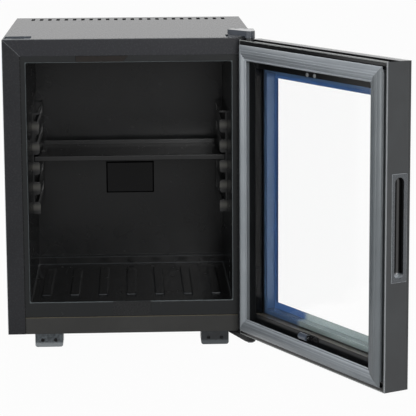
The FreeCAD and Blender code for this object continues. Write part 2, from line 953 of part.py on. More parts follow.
def make_shelf():
    body = new_body()
    near = rails_front
    far = near + shelf_depth
    half = jamb - s.rail_web - s.shelf_side_gap
    low = slot_centre(s.shelf_level_number) - s.slot_height / 2 + s.shelf_rest_gap
    high = low + s.shelf_lip
    wall = s.shelf_wall
    pad(body, "XY_Plane", (high - s.shelf_plate, high), rectangle(mirrored(half), (near, far)))
    skirt = [
        (-half, near),
        (half, near),
        (half, far),
        (half - wall, far),
        (half - wall, near + wall),
        (wall - half, near + wall),
        (wall - half, far),
        (-half, far),
    ]
    pad(body, "XY_Plane", (low, high - s.shelf_plate), skirt)
    upstand = mirrored(jamb - s.rung_reach - s.shelf_upstand_gap)
    outline = rectangle(upstand, (high, high + s.shelf_upstand))
    pad(body, "XZ_Plane", (far - wall, far), outline)
    round_edges(body, s.shelf_round, lambda edge: (
        at(edge, y=near, z=high) or at(edge, y=near, z=low)
        or at(edge, z=high + s.shelf_upstand, y=far - wall)
    ))
    keep("shelf", body)


# Hinges


def tangent_point(start, centre, radius):
    """Where the line from a point touches a circle, on the circle's left as seen from it."""
    dx, dy = start[0] - centre[0], start[1] - centre[1]
    square = dx * dx + dy * dy
    along = radius * radius / square
    across = radius * root(square - radius * radius) / square
    return centre[0] + along * dx - across * dy, centre[1] + along * dy + across * dx


def hinge_arm_outline():
    """Arm from the front of the case out to the hinge axis, seen from above."""
    outer = hinge_x + s.boss_radius
    tip = (outer - s.bracket_width, front + s.bracket_tip_setback)
    back = front + s.bracket_back
    axis = (hinge_x, hinge_y)
    return [
        tip,
        tangent_point(tip, axis, s.boss_radius),
        axis,
        (outer, hinge_y),
        (outer, back),
        (tip[0] + s.bracket_back_cut, back),
    ]


def hinge_screw_places():
    outer = hinge_x + s.boss_radius - s.hinge_screw_edge
    y = front + s.bracket_back - s.hinge_screw_back
    return [(outer, y), (outer - s.hinge_screw_spacing, y)]


seat_floor = top - s.seat_drop
arm_low = top + s.bracket_stand
arm_high = arm_low + s.bracket_thickness
boss_low = arm_low - s.boss_drop
lower_boss = base - s.bracket_root - s.bracket_thickness
upper_screw_seat = arm_high - s.hinge_screw_head
lower_screw_seat = base - s.bracket_root
head_clearance = s.hinge_screw_head_radius + s.seat_play


def make_hinge_screws():
    size = (s.hinge_screw_radius, s.hinge_screw_length, s.hinge_screw_head_radius, s.hinge_screw_head)
    long_size = (size[0], size[1] + s.bracket_stand, size[2], size[3])
    upper = [screw("Z", spot, upper_screw_seat, -1, *long_size) for spot in hinge_screw_places()]
    lower = [screw("Z", spot, lower_screw_seat, 1, *size) for spot in hinge_screw_places()]
    return keep("hinge_screws", group(*upper, *lower))


def make_top_hinge():
    body = new_body()
    axis = (hinge_x, hinge_y)
    pad(body, "XY_Plane", (arm_low, arm_high), hinge_arm_outline())
    pad(body, "XY_Plane", (boss_low, arm_high), (*axis, s.boss_radius))
    across = seat_spans(1)[0]
    foot = rectangle(
        (across[0] + s.sheet + s.bracket_root, across[1] - s.sheet - s.seat_play),
        (front + s.seat_setback + s.sheet + s.seat_play, front + s.bracket_back),
    )
    pad(body, "XY_Plane", (seat_floor, arm_low), foot)
    pocket(body, "XY_Plane", (boss_low - s.overrun, arm_high + s.overrun), (*axis, s.pin_radius))
    holes = [(*spot, s.hinge_screw_radius) for spot in hinge_screw_places()]
    pocket(body, "XY_Plane", (seat_floor - s.overrun, arm_high + s.overrun), *holes)
    heads = [(*spot, head_clearance) for spot in hinge_screw_places()]
    pocket(body, "XY_Plane", (upper_screw_seat, arm_high + s.overrun), *heads)
    keep("hinge_bracket_top", body)
    keep("hinge_pin_top", rod("Z", axis, (boss_low - s.pin_reach, arm_high), s.pin_radius))


def make_bottom_hinge():
    body = new_body()
    axis = (hinge_x, hinge_y)
    outline = hinge_arm_outline()
    pad(body, "XY_Plane", (lower_boss, base), outline)
    pad(body, "XY_Plane", (lower_boss, base), (*axis, s.boss_radius))
    tip_x = outline[0][0]
    wedge = [
        (tip_x - s.overrun, base - s.bracket_root),
        (hinge_x - s.boss_radius, lower_boss),
        (hinge_x - s.boss_radius, lower_boss - s.overrun),
        (tip_x - s.overrun, lower_boss - s.overrun),
    ]
    depth = (hinge_y - s.boss_radius - s.overrun, front + s.bracket_back + s.overrun)
    pocket(body, "XZ_Plane", depth, wedge)
    through = (lower_boss - s.overrun, base + s.overrun)
    pocket(body, "XY_Plane", through, (*axis, s.pin_radius))
    pocket(body, "XY_Plane", through, *[(*p, s.hinge_screw_radius) for p in hinge_screw_places()])
    heads = [(*spot, head_clearance) for spot in hinge_screw_places()]
    pocket(body, "XY_Plane", (lower_boss - s.overrun, lower_screw_seat), *heads)
    keep("hinge_bracket_bottom", body)
    shank = rod("Z", axis, (lower_boss, base + s.pin_reach), s.pin_radius)
    head = rod("Z", axis, (lower_boss - s.pin_head, lower_boss), s.pin_head_radius)
    keep("hinge_pin_bottom", fuse(shank, head))


# Door, drawn shut around the hinge axis: +X to the hinge edge, +Y towards the cabinet

hinge_edge = s.axis_inset - s.door_side_gap
handle_edge = hinge_edge - (s.case_width - 2 * s.door_side_gap)
door_low = base + s.door_edge_gap
door_high = top - s.door_edge_gap
door_middle = (hinge_edge + handle_edge) / 2
door_face = -s.axis_to_face
pane_back = door_face + s.outer_pane
inner_pane_front = pane_back + s.pane_gap
inner_pane_back = inner_pane_front + s.inner_pane
frame_floor = s.axis_to_lip - s.lip_rise
case_plane = s.axis_ahead
trim_top_face = frame_floor + s.trim_rise


def seat_on_door(piece):
    """Turn a door piece open and carry it to the hinge axis."""
    turned = FreeCAD.Rotation(FreeCAD.Vector(0, 0, 1), s.door_open_angle.value)
    place(piece, hinge_x, hinge_y, zero, turned)
    piece.setExpression("Placement.Rotation.Angle", s.door_open_angle.formula)
    return piece


def keep_on_door(label, piece):
    keep(label, piece)
    return seat_on_door(piece)


def inset(depth):
    """Rectangle that runs inside the door's edge at one depth."""
    return rectangle(
        (handle_edge + depth, hinge_edge - depth), (door_low + depth, door_high - depth)
    )


def mitred_bar(side, section, width, depth):
    """Edge bar with 45 degree ends. The section is (inset from the door's edge, depth)."""
    body = new_body()
    if side in ("hinge", "handle"):
        def across(t):
            return hinge_edge - t if side == "hinge" else handle_edge + t

        pad(body, "XY_Plane", (door_low, door_high), [(across(t), y) for t, y in section])
        ends = [
            [
                (across(zero), edge),
                (across(width), edge),
                (across(width), edge + sign * width),
            ]
            for edge, sign in ((door_high, -1), (door_low, 1))
        ]
    else:
        def up(t):
            return door_high - t if side == "top" else door_low + t

        pad(body, "YZ_Plane", (handle_edge, hinge_edge), [(y, up(t)) for t, y in section])
        ends = [
            [
                (edge, up(zero)),
                (edge, up(width)),
                (edge + sign * width, up(width)),
            ]
            for edge, sign in ((hinge_edge, -1), (handle_edge, 1))
        ]
    for end in ends:
        pocket(body, "XZ_Plane", (depth[0] - s.overrun, depth[1] + s.overrun), end)
    return body


def frame_void(start):
    return [
        (start, pane_back + s.frame_wall),
        (s.frame_width - s.frame_wall, pane_back + s.frame_wall),
        (s.frame_width - s.frame_wall, frame_floor - s.frame_wall),
        (start, frame_floor - s.frame_wall),
    ]


def make_frame_bar(side):
    """Hollow bar of the door frame, with the lip that stands up round the gasket."""
    wide = s.frame_width
    lip_top = s.axis_to_lip
    groove_near = door_face + s.groove_front
    groove_far = door_face + s.groove_back
    if side in ("hinge", "handle"):
        outline = [
            (zero, pane_back),
            (wide, pane_back),
            (wide, frame_floor),
            (s.frame_lip, frame_floor),
            (s.frame_lip, lip_top),
            (zero, lip_top),
        ]
        void = frame_void(s.frame_wall)
    else:
        outline = [
            (zero, pane_back),
            (wide, pane_back),
            (wide, frame_floor),
            (s.rail_lip, frame_floor),
            (s.rail_lip, lip_top),
            (zero, lip_top),
            (zero, groove_far),
            (s.groove_depth, groove_far),
            (s.groove_depth, groove_near),
            (zero, groove_near),
        ]
        void = frame_void(s.groove_depth + s.frame_wall)
    body = mitred_bar(side, outline, wide + s.overrun, (pane_back, lip_top))
    hollow = mitred_bar(side, void, wide + s.overrun, (pane_back, lip_top))
    return body, hollow


def grip_places():
    y = door_face + s.grip_from_face
    z = (door_low + door_high) / 2
    return y, z


def stadium(kind, body, span, width, height):
    """Pad or pocket with round ends, in the handle-side edge of the door."""
    y, z = grip_places()
    flat = (height - width) / 2
    kind(body, "YZ_Plane", span, rectangle(around(y, width), (z - flat, z + flat)))
    kind(body, "YZ_Plane", span, (y, z - flat, width / 2), (y, z + flat, width / 2))


def make_frame():
    for side in ("top", "bottom"):
        bar, hollow = make_frame_bar(side)
        wall = (door_low, door_low + s.frame_width / 2)
        if side == "top":
            wall = (door_high - s.frame_width / 2, door_high)
        bush = rod("Z", (zero, zero), wall, s.bush_radius)
        keep_on_door(f"frame_{side}", cut(bar, hollow, bush))
    bar, hollow = make_frame_bar("hinge")
    keep_on_door("frame_hinge_stile", cut(bar, hollow))
    bar, hollow = make_frame_bar("handle")
    y, z = grip_places()
    plate = block(
        (handle_edge - s.overrun, handle_edge + s.grip_plate),
        around(y, s.grip_width),
        around(z, s.grip_height),
    )
    width = s.grip_slot_width + 2 * s.grip_cup_wall
    flat = (s.grip_slot_height - s.grip_slot_width) / 2
    reach = (handle_edge, handle_edge + s.grip_cup_depth)
    mouth = [block(reach, around(y, width), (z - flat, z + flat))]
    mouth += [rod("X", (y, z + way * flat), reach, width / 2) for way in (-1, 1)]
    keep_on_door("frame_handle_stile", cut(bar, hollow, plate, *mouth))


def make_handle_cup():
    body = new_body()
    y, z = grip_places()
    outer = handle_edge + s.grip_plate
    outline = rectangle(around(y, s.grip_width), around(z, s.grip_height))
    pad(body, "YZ_Plane", (handle_edge, outer), outline)
    width = s.grip_slot_width + 2 * s.grip_cup_wall
    height = s.grip_slot_height + 2 * s.grip_cup_wall
    floor = handle_edge + s.grip_cup_depth
    stadium(pad, body, (outer, floor + s.grip_cup_wall), width, height)
    hollow = (handle_edge - s.overrun, floor)
    stadium(pocket, body, hollow, s.grip_slot_width, s.grip_slot_height)
    round_edges(body, s.grip_rim_round, lambda edge: at(edge, x=handle_edge))
    round_edges(body, s.grip_floor_round, lambda edge: at(edge, x=floor))
    keep_on_door("handle_cup", body)


def make_glass():
    outer = new_body()
    pad(outer, "XZ_Plane", (door_face, pane_back), inset(zero))
    bevel_edges(outer, s.pane_bevel, lambda edge: at(edge, y=door_face))
    keep_on_door("glass_outer", outer)
    inner = new_body()
    pad(inner, "XZ_Plane", (inner_pane_front, inner_pane_back), inset(s.inner_pane_inset))
    keep_on_door("glass_inner", inner)
    spacer = new_body()
    gap = (pane_back, inner_pane_front)
    inner_edge = inset(s.spacer_inset + s.spacer_width)
    pad(spacer, "XZ_Plane", gap, inset(s.spacer_inset), inner_edge)
    keep_on_door("glass_spacer", spacer)
    sealant = new_body()
    pad(sealant, "XZ_Plane", gap, inset(s.inner_pane_inset), inset(s.spacer_inset))
    keep_on_door("edge_sealant", sealant)


def make_trim():
    """Beads that hold the inner pane down and cover the edge of the frame."""
    start = s.frame_width - s.trim_tuck
    step = trim_top_face - s.trim_step
    section = [
        (start, trim_top_face),
        (start, frame_floor),
        (s.inner_pane_inset, frame_floor),
        (s.inner_pane_inset, inner_pane_back),
        (s.trim_front_inset, inner_pane_back),
        (s.trim_front_inset, step),
        (s.trim_sight_inset, step),
        (s.trim_sight_inset, trim_top_face),
    ]
    depth = (inner_pane_back, trim_top_face)
    for side in ("top", "bottom", "hinge", "handle"):
        bar = mitred_bar(side, section, s.trim_sight_inset + s.overrun, depth)
        name = f"trim_{side}" if side in ("top", "bottom") else f"trim_{side}_side"
        if side in ("top", "bottom"):
            bar = cut(bar, *door_screws)
        keep_on_door(name, bar)


def make_door_screws():
    size = (
        s.door_screw_radius, s.door_screw_length, s.door_screw_head_radius, s.door_screw_head
    )
    upper = door_high - s.catch_inset
    screws = [
        screw("Y", (across, upper), trim_top_face, -1, *size)
        for across in around(door_middle, s.trim_screw_spacing)
    ]
    lower = (door_middle - s.catch_screw_offset, door_low + s.catch_inset)
    screws.append(screw("Y", lower, trim_top_face + s.catch_plate, -1, *size))
    keep_on_door("door_screws", group(*screws))
    return screws


def make_gasket():
    """Sealing strip round the door, with bar magnets buried in its cushion."""
    body = new_body()
    back = case_plane - s.gasket_clearance
    cushion = back - s.gasket_cushion
    neck = frame_floor + s.gasket_base_rise
    base_inner = s.gasket_base_inset + s.gasket_base_width
    pad(body, "XZ_Plane", (frame_floor, neck), inset(s.gasket_base_inset), inset(base_inner))
    inner = inset(s.gasket_inner_inset)
    pad(body, "XZ_Plane", (neck, cushion), inset(s.gasket_base_inset), inner)
    pad(body, "XZ_Plane", (cushion, back), inset(s.gasket_inset), inner)
    round_edges(body, s.gasket_round, lambda edge: at(edge, y=back))
    near = s.magnet_inset
    far = near + s.magnet_width
    depth = (cushion, cushion + s.magnet_thickness)
    long_way = (handle_edge + near, hinge_edge - near)
    short_way = (door_low + far, door_high - far)
    bars = [
        block(long_way, depth, (door_high - far, door_high - near)),
        block(long_way, depth, (door_low + near, door_low + far)),
        block((handle_edge + near, handle_edge + far), depth, short_way),
        block((hinge_edge - far, hinge_edge - near), depth, short_way),
    ]
    tools = group(*bars)
    keep_on_door("door_gasket", cut(body, *bars))
    keep_on_door("gasket_magnets", tools)


def make_bushes():
    """Collared bushes in the two ends of the door, which turn on the hinge pins."""
    bore = s.pin_radius + s.bush_play
    wall = door_high - s.groove_depth
    sleeve = rod("Z", (zero, zero), (wall - s.bush_reach, wall), s.bush_radius)
    collar = rod("Z", (zero, zero), (wall, boss_low - s.bush_gap), s.bush_collar_radius)
    hole = rod("Z", (zero, zero), (wall - s.bush_reach - s.overrun, boss_low), bore)
    keep_on_door("hinge_bush_top", cut(fuse(sleeve, collar), hole))
    wall = door_low + s.groove_depth
    sleeve = rod("Z", (zero, zero), (wall, wall + s.bush_reach), s.bush_radius)
    collar = rod("Z", (zero, zero), (base + s.bush_gap, wall), s.bush_collar_radius)
    hole = rod("Z", (zero, zero), (base, wall + s.bush_reach + s.overrun), bore)
    keep_on_door("hinge_bush_bottom", cut(fuse(sleeve, collar), hole))


def make_catch():
    """Roller between two ears, which closes against the keeper plate."""
    z = door_low + s.catch_inset
    seat = trim_top_face
    plate_top = seat + s.catch_plate
    axis_y = trim_top_face + s.roller_rise
    start = door_middle + s.roller_offset
    far = start - s.roller_length
    height = around(z, s.catch_plate_height)
    near_ear = start + s.roller_side_gap
    far_ear = far - s.roller_side_gap
    ear_top = axis_y + s.ear_over
    plate_end = door_middle - s.catch_plate_offset
    plate = block((plate_end, near_ear + s.ear_thickness), (seat, plate_top), height)
    ears = [
        block((near_ear, near_ear + s.ear_thickness), (plate_top, ear_top), height),
        block((far_ear - s.ear_thickness, far_ear), (plate_top, ear_top), height),
    ]
    pin_span = (far_ear - s.ear_thickness, near_ear + s.ear_thickness)
    pin = rod("X", (axis_y, z), pin_span, s.roller_pin_radius)
    keep_on_door("catch_bracket", cut(fuse(plate, *ears), pin, *door_screws))
    keep_on_door("catch_pin", group(rod("X", (axis_y, z), pin_span, s.roller_pin_radius)))
    outer = rod("X", (axis_y, z), (far, start), s.roller_radius)
    bore = rod("X", (axis_y, z), pin_span, s.roller_pin_radius + s.roller_play)
    keep_on_door("catch_roller", cut(outer, bore))


# Cooling unit in the open bay behind the back plate


def bay_height(share):
    """Height above the floor of a place in the bay."""
    return base + s.case_height * share


strap_front = rear - s.sheet - s.strap_thickness
strap_heights = (bay_height(s.strap_low_share), bay_height(s.strap_high_share))
vessel_z = bay_height(s.vessel_height_share)
vessel_right = inside * s.vessel_right_share
jacket_x = inside * s.jacket_centre_share
jacket_width = inside * s.jacket_width_share
jacket_foot = bay_height(s.jacket_foot_share)
down_pipe_x = -inside * s.down_pipe_left_share
down_pipe_top = bay_height(s.down_pipe_top_share)
coil_left = -inside * s.coil_left_share
coil_right = inside * s.coil_right_share
box_left = inside - s.box_side_gap - inside * s.box_width_share


def make_vessel():
    body = new_body()
    span = (-inside * s.vessel_left_share, vessel_right)
    pad(body, "YZ_Plane", span, (unit_y, vessel_z, s.vessel_radius))
    round_edges(body, s.vessel_round, lambda edge: at(edge, x=span[0]) or at(edge, x=span[1]))
    collar_top = vessel_z + s.vessel_radius + s.collar_rise
    collar = rod("Z", (coil_left, unit_y), (vessel_z, collar_top), s.collar_radius)
    feed_x = jacket_x - jacket_width / 2 + s.feed_inset
    feed = bent_bar(
        [
            (vessel_right - s.vessel_round, unit_y, vessel_z),
            (feed_x, unit_y, vessel_z),
            (feed_x, unit_y, jacket_foot),
        ],
        s.unit_bend,
        s.unit_tube,
    )
    keep("absorber_vessel", fuse(body, collar, feed))
    return collar_top


def make_boiler():
    body = new_body()
    y = (strap_front - bay_depth * s.jacket_depth_share, strap_front)
    x = around(jacket_x, jacket_width)
    jacket_top = jacket_foot + s.case_height * s.jacket_height_share
    pad(body, "XY_Plane", (jacket_foot, jacket_top), rectangle(x, y))
    round_edges(body, s.jacket_corner, lambda edge: any(
        at(edge, x=side, y=end) for side in x for end in y
    ))
    centre = (jacket_x + inside * s.heater_offset_share, unit_y)
    head_low = jacket_foot - s.heater_head
    shank_top = head_low + s.heater_length
    hole = (*centre, s.heater_radius)
    pocket(body, "XY_Plane", (jacket_foot - s.overrun, shank_top), hole)
    keep("boiler_jacket", body)
    shank = rod("Z", centre, (jacket_foot, shank_top), s.heater_radius)
    head = rod("Z", centre, (head_low, jacket_foot), s.heater_head_radius)
    keep("heater_cartridge", fuse(shank, head))
    bend_z = head_low - s.lead_drop
    lead = [
        (*centre, head_low),
        (*centre, bend_z),
        (box_left, unit_y, bend_z),
    ]
    keep("heater_lead", bent_bar(lead, s.lead_bend, s.lead_radius))
    return jacket_top


def make_condenser(jacket_top):
    """Tube from the boiler along the top of the bay, with a row of square fins."""
    high = bay_height(s.condenser_height_share)
    tube = bent_bar(
        [
            (jacket_x, unit_y, jacket_top),
            (jacket_x, unit_y, high),
            (down_pipe_x, unit_y, high),
            (down_pipe_x, unit_y, down_pipe_top),
        ],
        s.unit_bend,
        s.unit_tube,
    )
    fins = []
    for number in range(int(s.fin_count.value)):
        start = inside * (number * s.fin_pitch_share - s.fin_start_share)
        span = (start, start + s.fin_thickness)
        fins.append(block(span, around(unit_y, s.fin_size), around(high, s.fin_size)))
    keep("condenser", fuse(tube, *fins))


def evaporator_points():
    y = cavity_rear + s.block_depth / 2
    joint = bay_front + s.coil_joint
    return [
        (down_pipe_x, unit_y, down_pipe_top),
        (down_pipe_x, unit_y, cooling_z),
        (down_pipe_x, y, cooling_z),
        (coil_right, y, cooling_z),
        (coil_right, joint, cooling_z),
    ]


def make_absorber_coil(collar_top):
    left, right = coil_left, coil_right
    second = cooling_z - s.coil_pitch
    third = second - s.coil_pitch
    points = [
        (right, bay_front + s.coil_joint, cooling_z),
        (right, unit_y, cooling_z),
        (left, unit_y, cooling_z),
        (left, unit_y, second),
        (right, unit_y, second),
        (right, unit_y, third),
        (left, unit_y, third),
        (left, unit_y, collar_top),
    ]
    keep("absorber_coil", bent_bar(points, s.unit_bend, s.unit_tube))


def make_control_box():
    """Thermostat and terminal box at the foot of the bay, with its recessed mains inlet."""
    x = (box_left, inside - s.box_side_gap)
    back = rear - s.sheet
    low = base + s.sheet
    height = s.case_height * s.box_height_share
    box = block(x, (back - bay_depth * s.box_depth_share, back), (low, low + height))
    centre = half_width - s.rear_flange - s.inlet_width / 2 - s.inlet_base
    z = low + height / 2
    inlet_x = around(centre, s.inlet_width)
    inlet_z = around(z, s.inlet_height)
    depth = (back - s.inlet_depth, back)
    rim = s.inlet_rim
    hollow = block(
        (inlet_x[0] + rim, inlet_x[1] - rim),
        (depth[0] + s.inlet_base, back + s.overrun),
        (inlet_z[0] + rim, inlet_z[1] - rim),
    )
    body = cut(block(inlet_x, depth, inlet_z), hollow)
    pin_span = (depth[0], back - s.inlet_base)
    pins = [
        rod("Y", (centre + way * s.inlet_pin_spacing, z), pin_span, s.inlet_pin_radius)
        for way in (-1, 0, 1)
    ]
    keep("control_box", cut(box, block(inlet_x, depth, inlet_z)))
    keep("power_inlet", fuse(body, *pins))


def make_straps():
    straps = []
    screws = []
    for height in strap_heights:
        bar = block(mirrored(inside), (strap_front, rear - s.sheet), around(height, s.strap_height))
        for sign in (-1, 1):
            screws.append(screw(
                "Y", (sign * (half_width - s.strap_screw_inset), height), rear, -1,
                s.strap_screw_radius, s.strap_screw_length,
                s.strap_screw_head_radius, s.strap_screw_head,
            ))
        straps.append(bar)
    keep("unit_straps", cut(group(*straps), *screws))
    keep("unit_screws", group(*screws))


# The whole fridge, each piece in the order that its neighbours need it

hinge_screws = make_hinge_screws()
make_outer_case()
keep("base_pan", make_base_pan())
make_hinge_seat("left", -1)
make_hinge_seat("right", 1)
foot_screws = []
front_feet = (front + s.foot_setback, front + s.foot_setback + s.foot_length)
rear_feet = (rear - s.foot_setback - s.foot_length, rear - s.foot_setback)
for side, sign in (("left", -1), ("right", 1)):
    make_foot("front", side, front_feet, sign)
    make_foot("rear", side, rear_feet, sign)
keep("foot_screws", group(*foot_screws))
make_inner_liner()
drain = make_drain()
lamp_board = make_lamp()
make_cover()
make_keeper()
evaporator_tube = keep("evaporator_tube", bent_bar(evaporator_points(), s.unit_bend, s.unit_tube))
block_span = (cavity_rear, cavity_rear + s.block_depth)
cooling_block = block(around(zero, s.block_width), block_span, around(cooling_z, s.block_height))
keep("evaporator_block", cut(cooling_block, evaporator_tube))
make_insulation(evaporator_tube, drain, lamp_board, cooling_block)
plate = block(mirrored(inside), (box_rear, bay_front), (base + s.sheet, top - s.sheet))
keep("back_plate", cut(plate, evaporator_tube, drain))
make_rail("left", -1)
make_rail("right", 1)
make_shelf()
make_top_hinge()
make_bottom_hinge()
make_frame()
make_handle_cup()
make_glass()
door_screws = make_door_screws()
make_trim()
make_gasket()
make_bushes()
make_catch()
collar_top = make_vessel()
jacket_top = make_boiler()
make_condenser(jacket_top)
make_absorber_coil(collar_top)
make_control_box()
make_straps()

doc.recompute()
failed = [each.Label for each in doc.Objects if set(each.State) & {"Invalid", "Error"}]
for node in nodes:
    shape = node.Shape
    if shape.isNull() or not shape.isValid() or not shape.Solids:
        failed.append(node.Label)
if failed:
    raise RuntimeError(f"not sound: {', '.join(failed)}")

os.makedirs("parts", exist_ok=True)
for node in nodes:
    node.Shape.exportStep(f"parts/{node.Label}.step")
print(f"{len(nodes)} nodes")
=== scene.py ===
import json
import math

import bmesh
import bpy
from mathutils import Euler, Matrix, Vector


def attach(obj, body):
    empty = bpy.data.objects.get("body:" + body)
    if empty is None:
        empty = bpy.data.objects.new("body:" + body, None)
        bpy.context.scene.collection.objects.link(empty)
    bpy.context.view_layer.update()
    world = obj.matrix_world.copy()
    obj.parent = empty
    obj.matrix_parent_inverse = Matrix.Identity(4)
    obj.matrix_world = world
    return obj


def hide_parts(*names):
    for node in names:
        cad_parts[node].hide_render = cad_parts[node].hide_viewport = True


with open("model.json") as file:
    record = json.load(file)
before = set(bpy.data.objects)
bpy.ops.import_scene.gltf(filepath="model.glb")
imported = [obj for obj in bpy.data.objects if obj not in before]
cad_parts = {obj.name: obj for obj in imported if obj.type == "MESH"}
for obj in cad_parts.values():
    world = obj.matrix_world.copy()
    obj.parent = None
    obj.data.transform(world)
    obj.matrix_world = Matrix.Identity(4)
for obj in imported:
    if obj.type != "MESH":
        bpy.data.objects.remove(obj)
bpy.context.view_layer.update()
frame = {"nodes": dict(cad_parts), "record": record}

print("stage: frame loaded,", len(frame["nodes"]), "nodes")

millimetre = 0.001
nodes = frame["nodes"]


# Colour and material helpers

sRgb = {"straightTo": 0.04045, "slope": 12.92, "offset": 0.055, "power": 2.4}


# sRGB hex to the linear colour that a shader takes.
def hexColour(code):
    channels = [int(code[start:start + 2], 16) / 255 for start in (1, 3, 5)]
    return [
        value / sRgb["slope"] if value <= sRgb["straightTo"]
        else ((value + sRgb["offset"]) / (1 + sRgb["offset"])) ** sRgb["power"]
        for value in channels
    ] + [1.0]


def addNode(tree, kind, values=None, links=None, **settings):
    node = tree.nodes.new(kind)
    for name, value in settings.items():
        setattr(node, name, value)
    for name, value in (values or {}).items():
        node.inputs[name].default_value = value
    for name, socket in (links or {}).items():
        tree.links.new(socket, node.inputs[name])
    return node


# A material with one Principled shader, whose plain values are set on its own sockets.
def newMaterial(name, values):
    material = bpy.data.materials.new(name)
    material.use_nodes = True
    tree = material.node_tree
    shader = tree.nodes["Principled BSDF"]
    for socket, value in values.items():
        shader.inputs[socket].default_value = value
    place = addNode(tree, "ShaderNodeTexCoord").outputs["Object"]
    return material, tree, shader, place


# Noise whose grains are about the given size.
def noiseOf(tree, place, sizeInMm, detail=3.0, stretch=(1, 1, 1)):
    scaled = addNode(tree, "ShaderNodeMapping", {"Scale": stretch}, {"Vector": place})
    return addNode(
        tree, "ShaderNodeTexNoise",
        {"Scale": 1 / (sizeInMm * millimetre), "Detail": detail},
        {"Vector": scaled.outputs["Vector"]},
    ).outputs["Fac"]


def colourBetween(tree, amount, low, high, start=0.3, stop=0.7):
    ramp = addNode(tree, "ShaderNodeValToRGB", links={"Fac": amount})
    first, last = ramp.color_ramp.elements
    first.position, first.color = start, hexColour(low)
    last.position, last.color = stop, hexColour(high)
    return ramp.outputs["Color"]


# A colour that drifts between two tones in large patches.
def patchColour(tree, place, low, high, sizeInMm=60.0):
    return colourBetween(tree, noiseOf(tree, place, sizeInMm), low, high)


# The amount, from start to stop, as a value from low to high, held at both ends.
def rangeOf(tree, amount, start=0.0, stop=1.0, low=0.0, high=1.0):
    return addNode(
        tree, "ShaderNodeMapRange",
        {"From Min": start, "From Max": stop, "To Min": low, "To Max": high}, {"Value": amount},
    ).outputs["Result"]


def partsOf(tree, vector):
    return addNode(tree, "ShaderNodeSeparateXYZ", links={"Vector": vector}).outputs


# Bump from a height, over edges that are rounded a little and so catch the light.
def bumpFrom(tree, shader, height, heightInMm, roundInMm=0.9):
    rounded = addNode(tree, "ShaderNodeBevel", {"Radius": roundInMm * millimetre})
    bump = addNode(
        tree, "ShaderNodeBump",
        {"Strength": 1.0, "Distance": heightInMm * millimetre},
        {"Height": height, "Normal": rounded.outputs["Normal"]},
    )
    tree.links.new(bump.outputs["Normal"], shader.inputs["Normal"])


# Fine grain: it varies the roughness between two values and gives a slight bump.
def addGrain(tree, shader, place, sizeInMm, roughness, bumpInMm, roundInMm=0.9, stretch=(1, 1, 1)):
    grain = noiseOf(tree, place, sizeInMm, detail=2.0, stretch=stretch)
    low, high = roughness
    tree.links.new(rangeOf(tree, grain, low=low, high=high), shader.inputs["Roughness"])
    bumpFrom(tree, shader, grain, bumpInMm, roundInMm)


# One Math node. Each of its two values is a number or a socket.
def mathOf(tree, operation, first, second=0.0):
    node = addNode(tree, "ShaderNodeMath", operation=operation)
    for place, value in enumerate((first, second)):
        if isinstance(value, float):
            node.inputs[place].default_value = value
        else:
            tree.links.new(value, node.inputs[place])
    return node.outputs[0]


def facing(tree, axis):
    return partsOf(tree, addNode(tree, "ShaderNodeNewGeometry").outputs["Normal"])[axis]


# From 0 on faces that look sideways or down to 1 on those that look up: the mask for painted
# highlights on up-facing faces.
def lookingUp(tree, low, high):
    return rangeOf(tree, facing(tree, "Z"), low, high)


def productOf(tree, *factors):
    product = factors[0]
    for factor in factors[1:]:
        product = mathOf(tree, "MULTIPLY", product, factor)
    return product


# How far a point lies outside a rectangle of half sizes, on two axes: negative inside it.
def outsideOf(tree, parts, sides):
    outside = []
    for axis, centre, half in sides:
        offset = mathOf(tree, "ABSOLUTE", mathOf(tree, "SUBTRACT", parts[axis], centre))
        outside.append(mathOf(tree, "SUBTRACT", offset, half))
    return mathOf(tree, "MAXIMUM", *outside)


# The first colour where the amount is 0 and the second where it is 1, each as hex or socket.
def mixedColour(tree, amount, first, second):
    node = addNode(tree, "ShaderNodeMix", links={"Factor": amount}, data_type="RGBA")
    colours = [socket for socket in node.inputs if socket.type == "RGBA"]
    for socket, value in zip(colours, (first, second)):
        if isinstance(value, str):
            socket.default_value = hexColour(value)
        else:
            tree.links.new(value, socket)
    return node.outputs["Result"]


# The first shader where the share is 0 and the second where it is 1.
def mixedShader(tree, share, first, second):
    return addNode(
        tree, "ShaderNodeMixShader",
        links={0: share, 1: first.outputs[0], 2: second.outputs[0]},
    ).outputs[0]


# Base for most finishes: a colour that drifts in large patches, over a fine grain.
def surfaceMaterial(name, low, high, roughness, grainMm, bumpMm, patchMm=60.0, metallic=0.0,
                    specular=0.5, coat=0.0, roundMm=0.9):
    material, tree, shader, place = newMaterial(
        name, {"Metallic": metallic, "Specular IOR Level": specular, "Coat Weight": coat}
    )
    body = patchColour(tree, place, low, high, patchMm)
    tree.links.new(body, shader.inputs["Base Color"])
    addGrain(tree, shader, place, grainMm, roughness, bumpMm, roundMm)
    return material


# Finishes

caseFront = {                          # in metres, in the part's frame
    "plane": -0.208, "halfWide": 0.201, "top": 0.502, "flange": 0.027, "sideFlange": 0.0285,
    "edge": 0.0009,                    # width of the painted highlight line on a folded edge
    "mitreHalf": 0.0006,               # half width of the painted highlight line on the mitre
    "skin": 0.0012,                    # the front is what lies within this depth
}
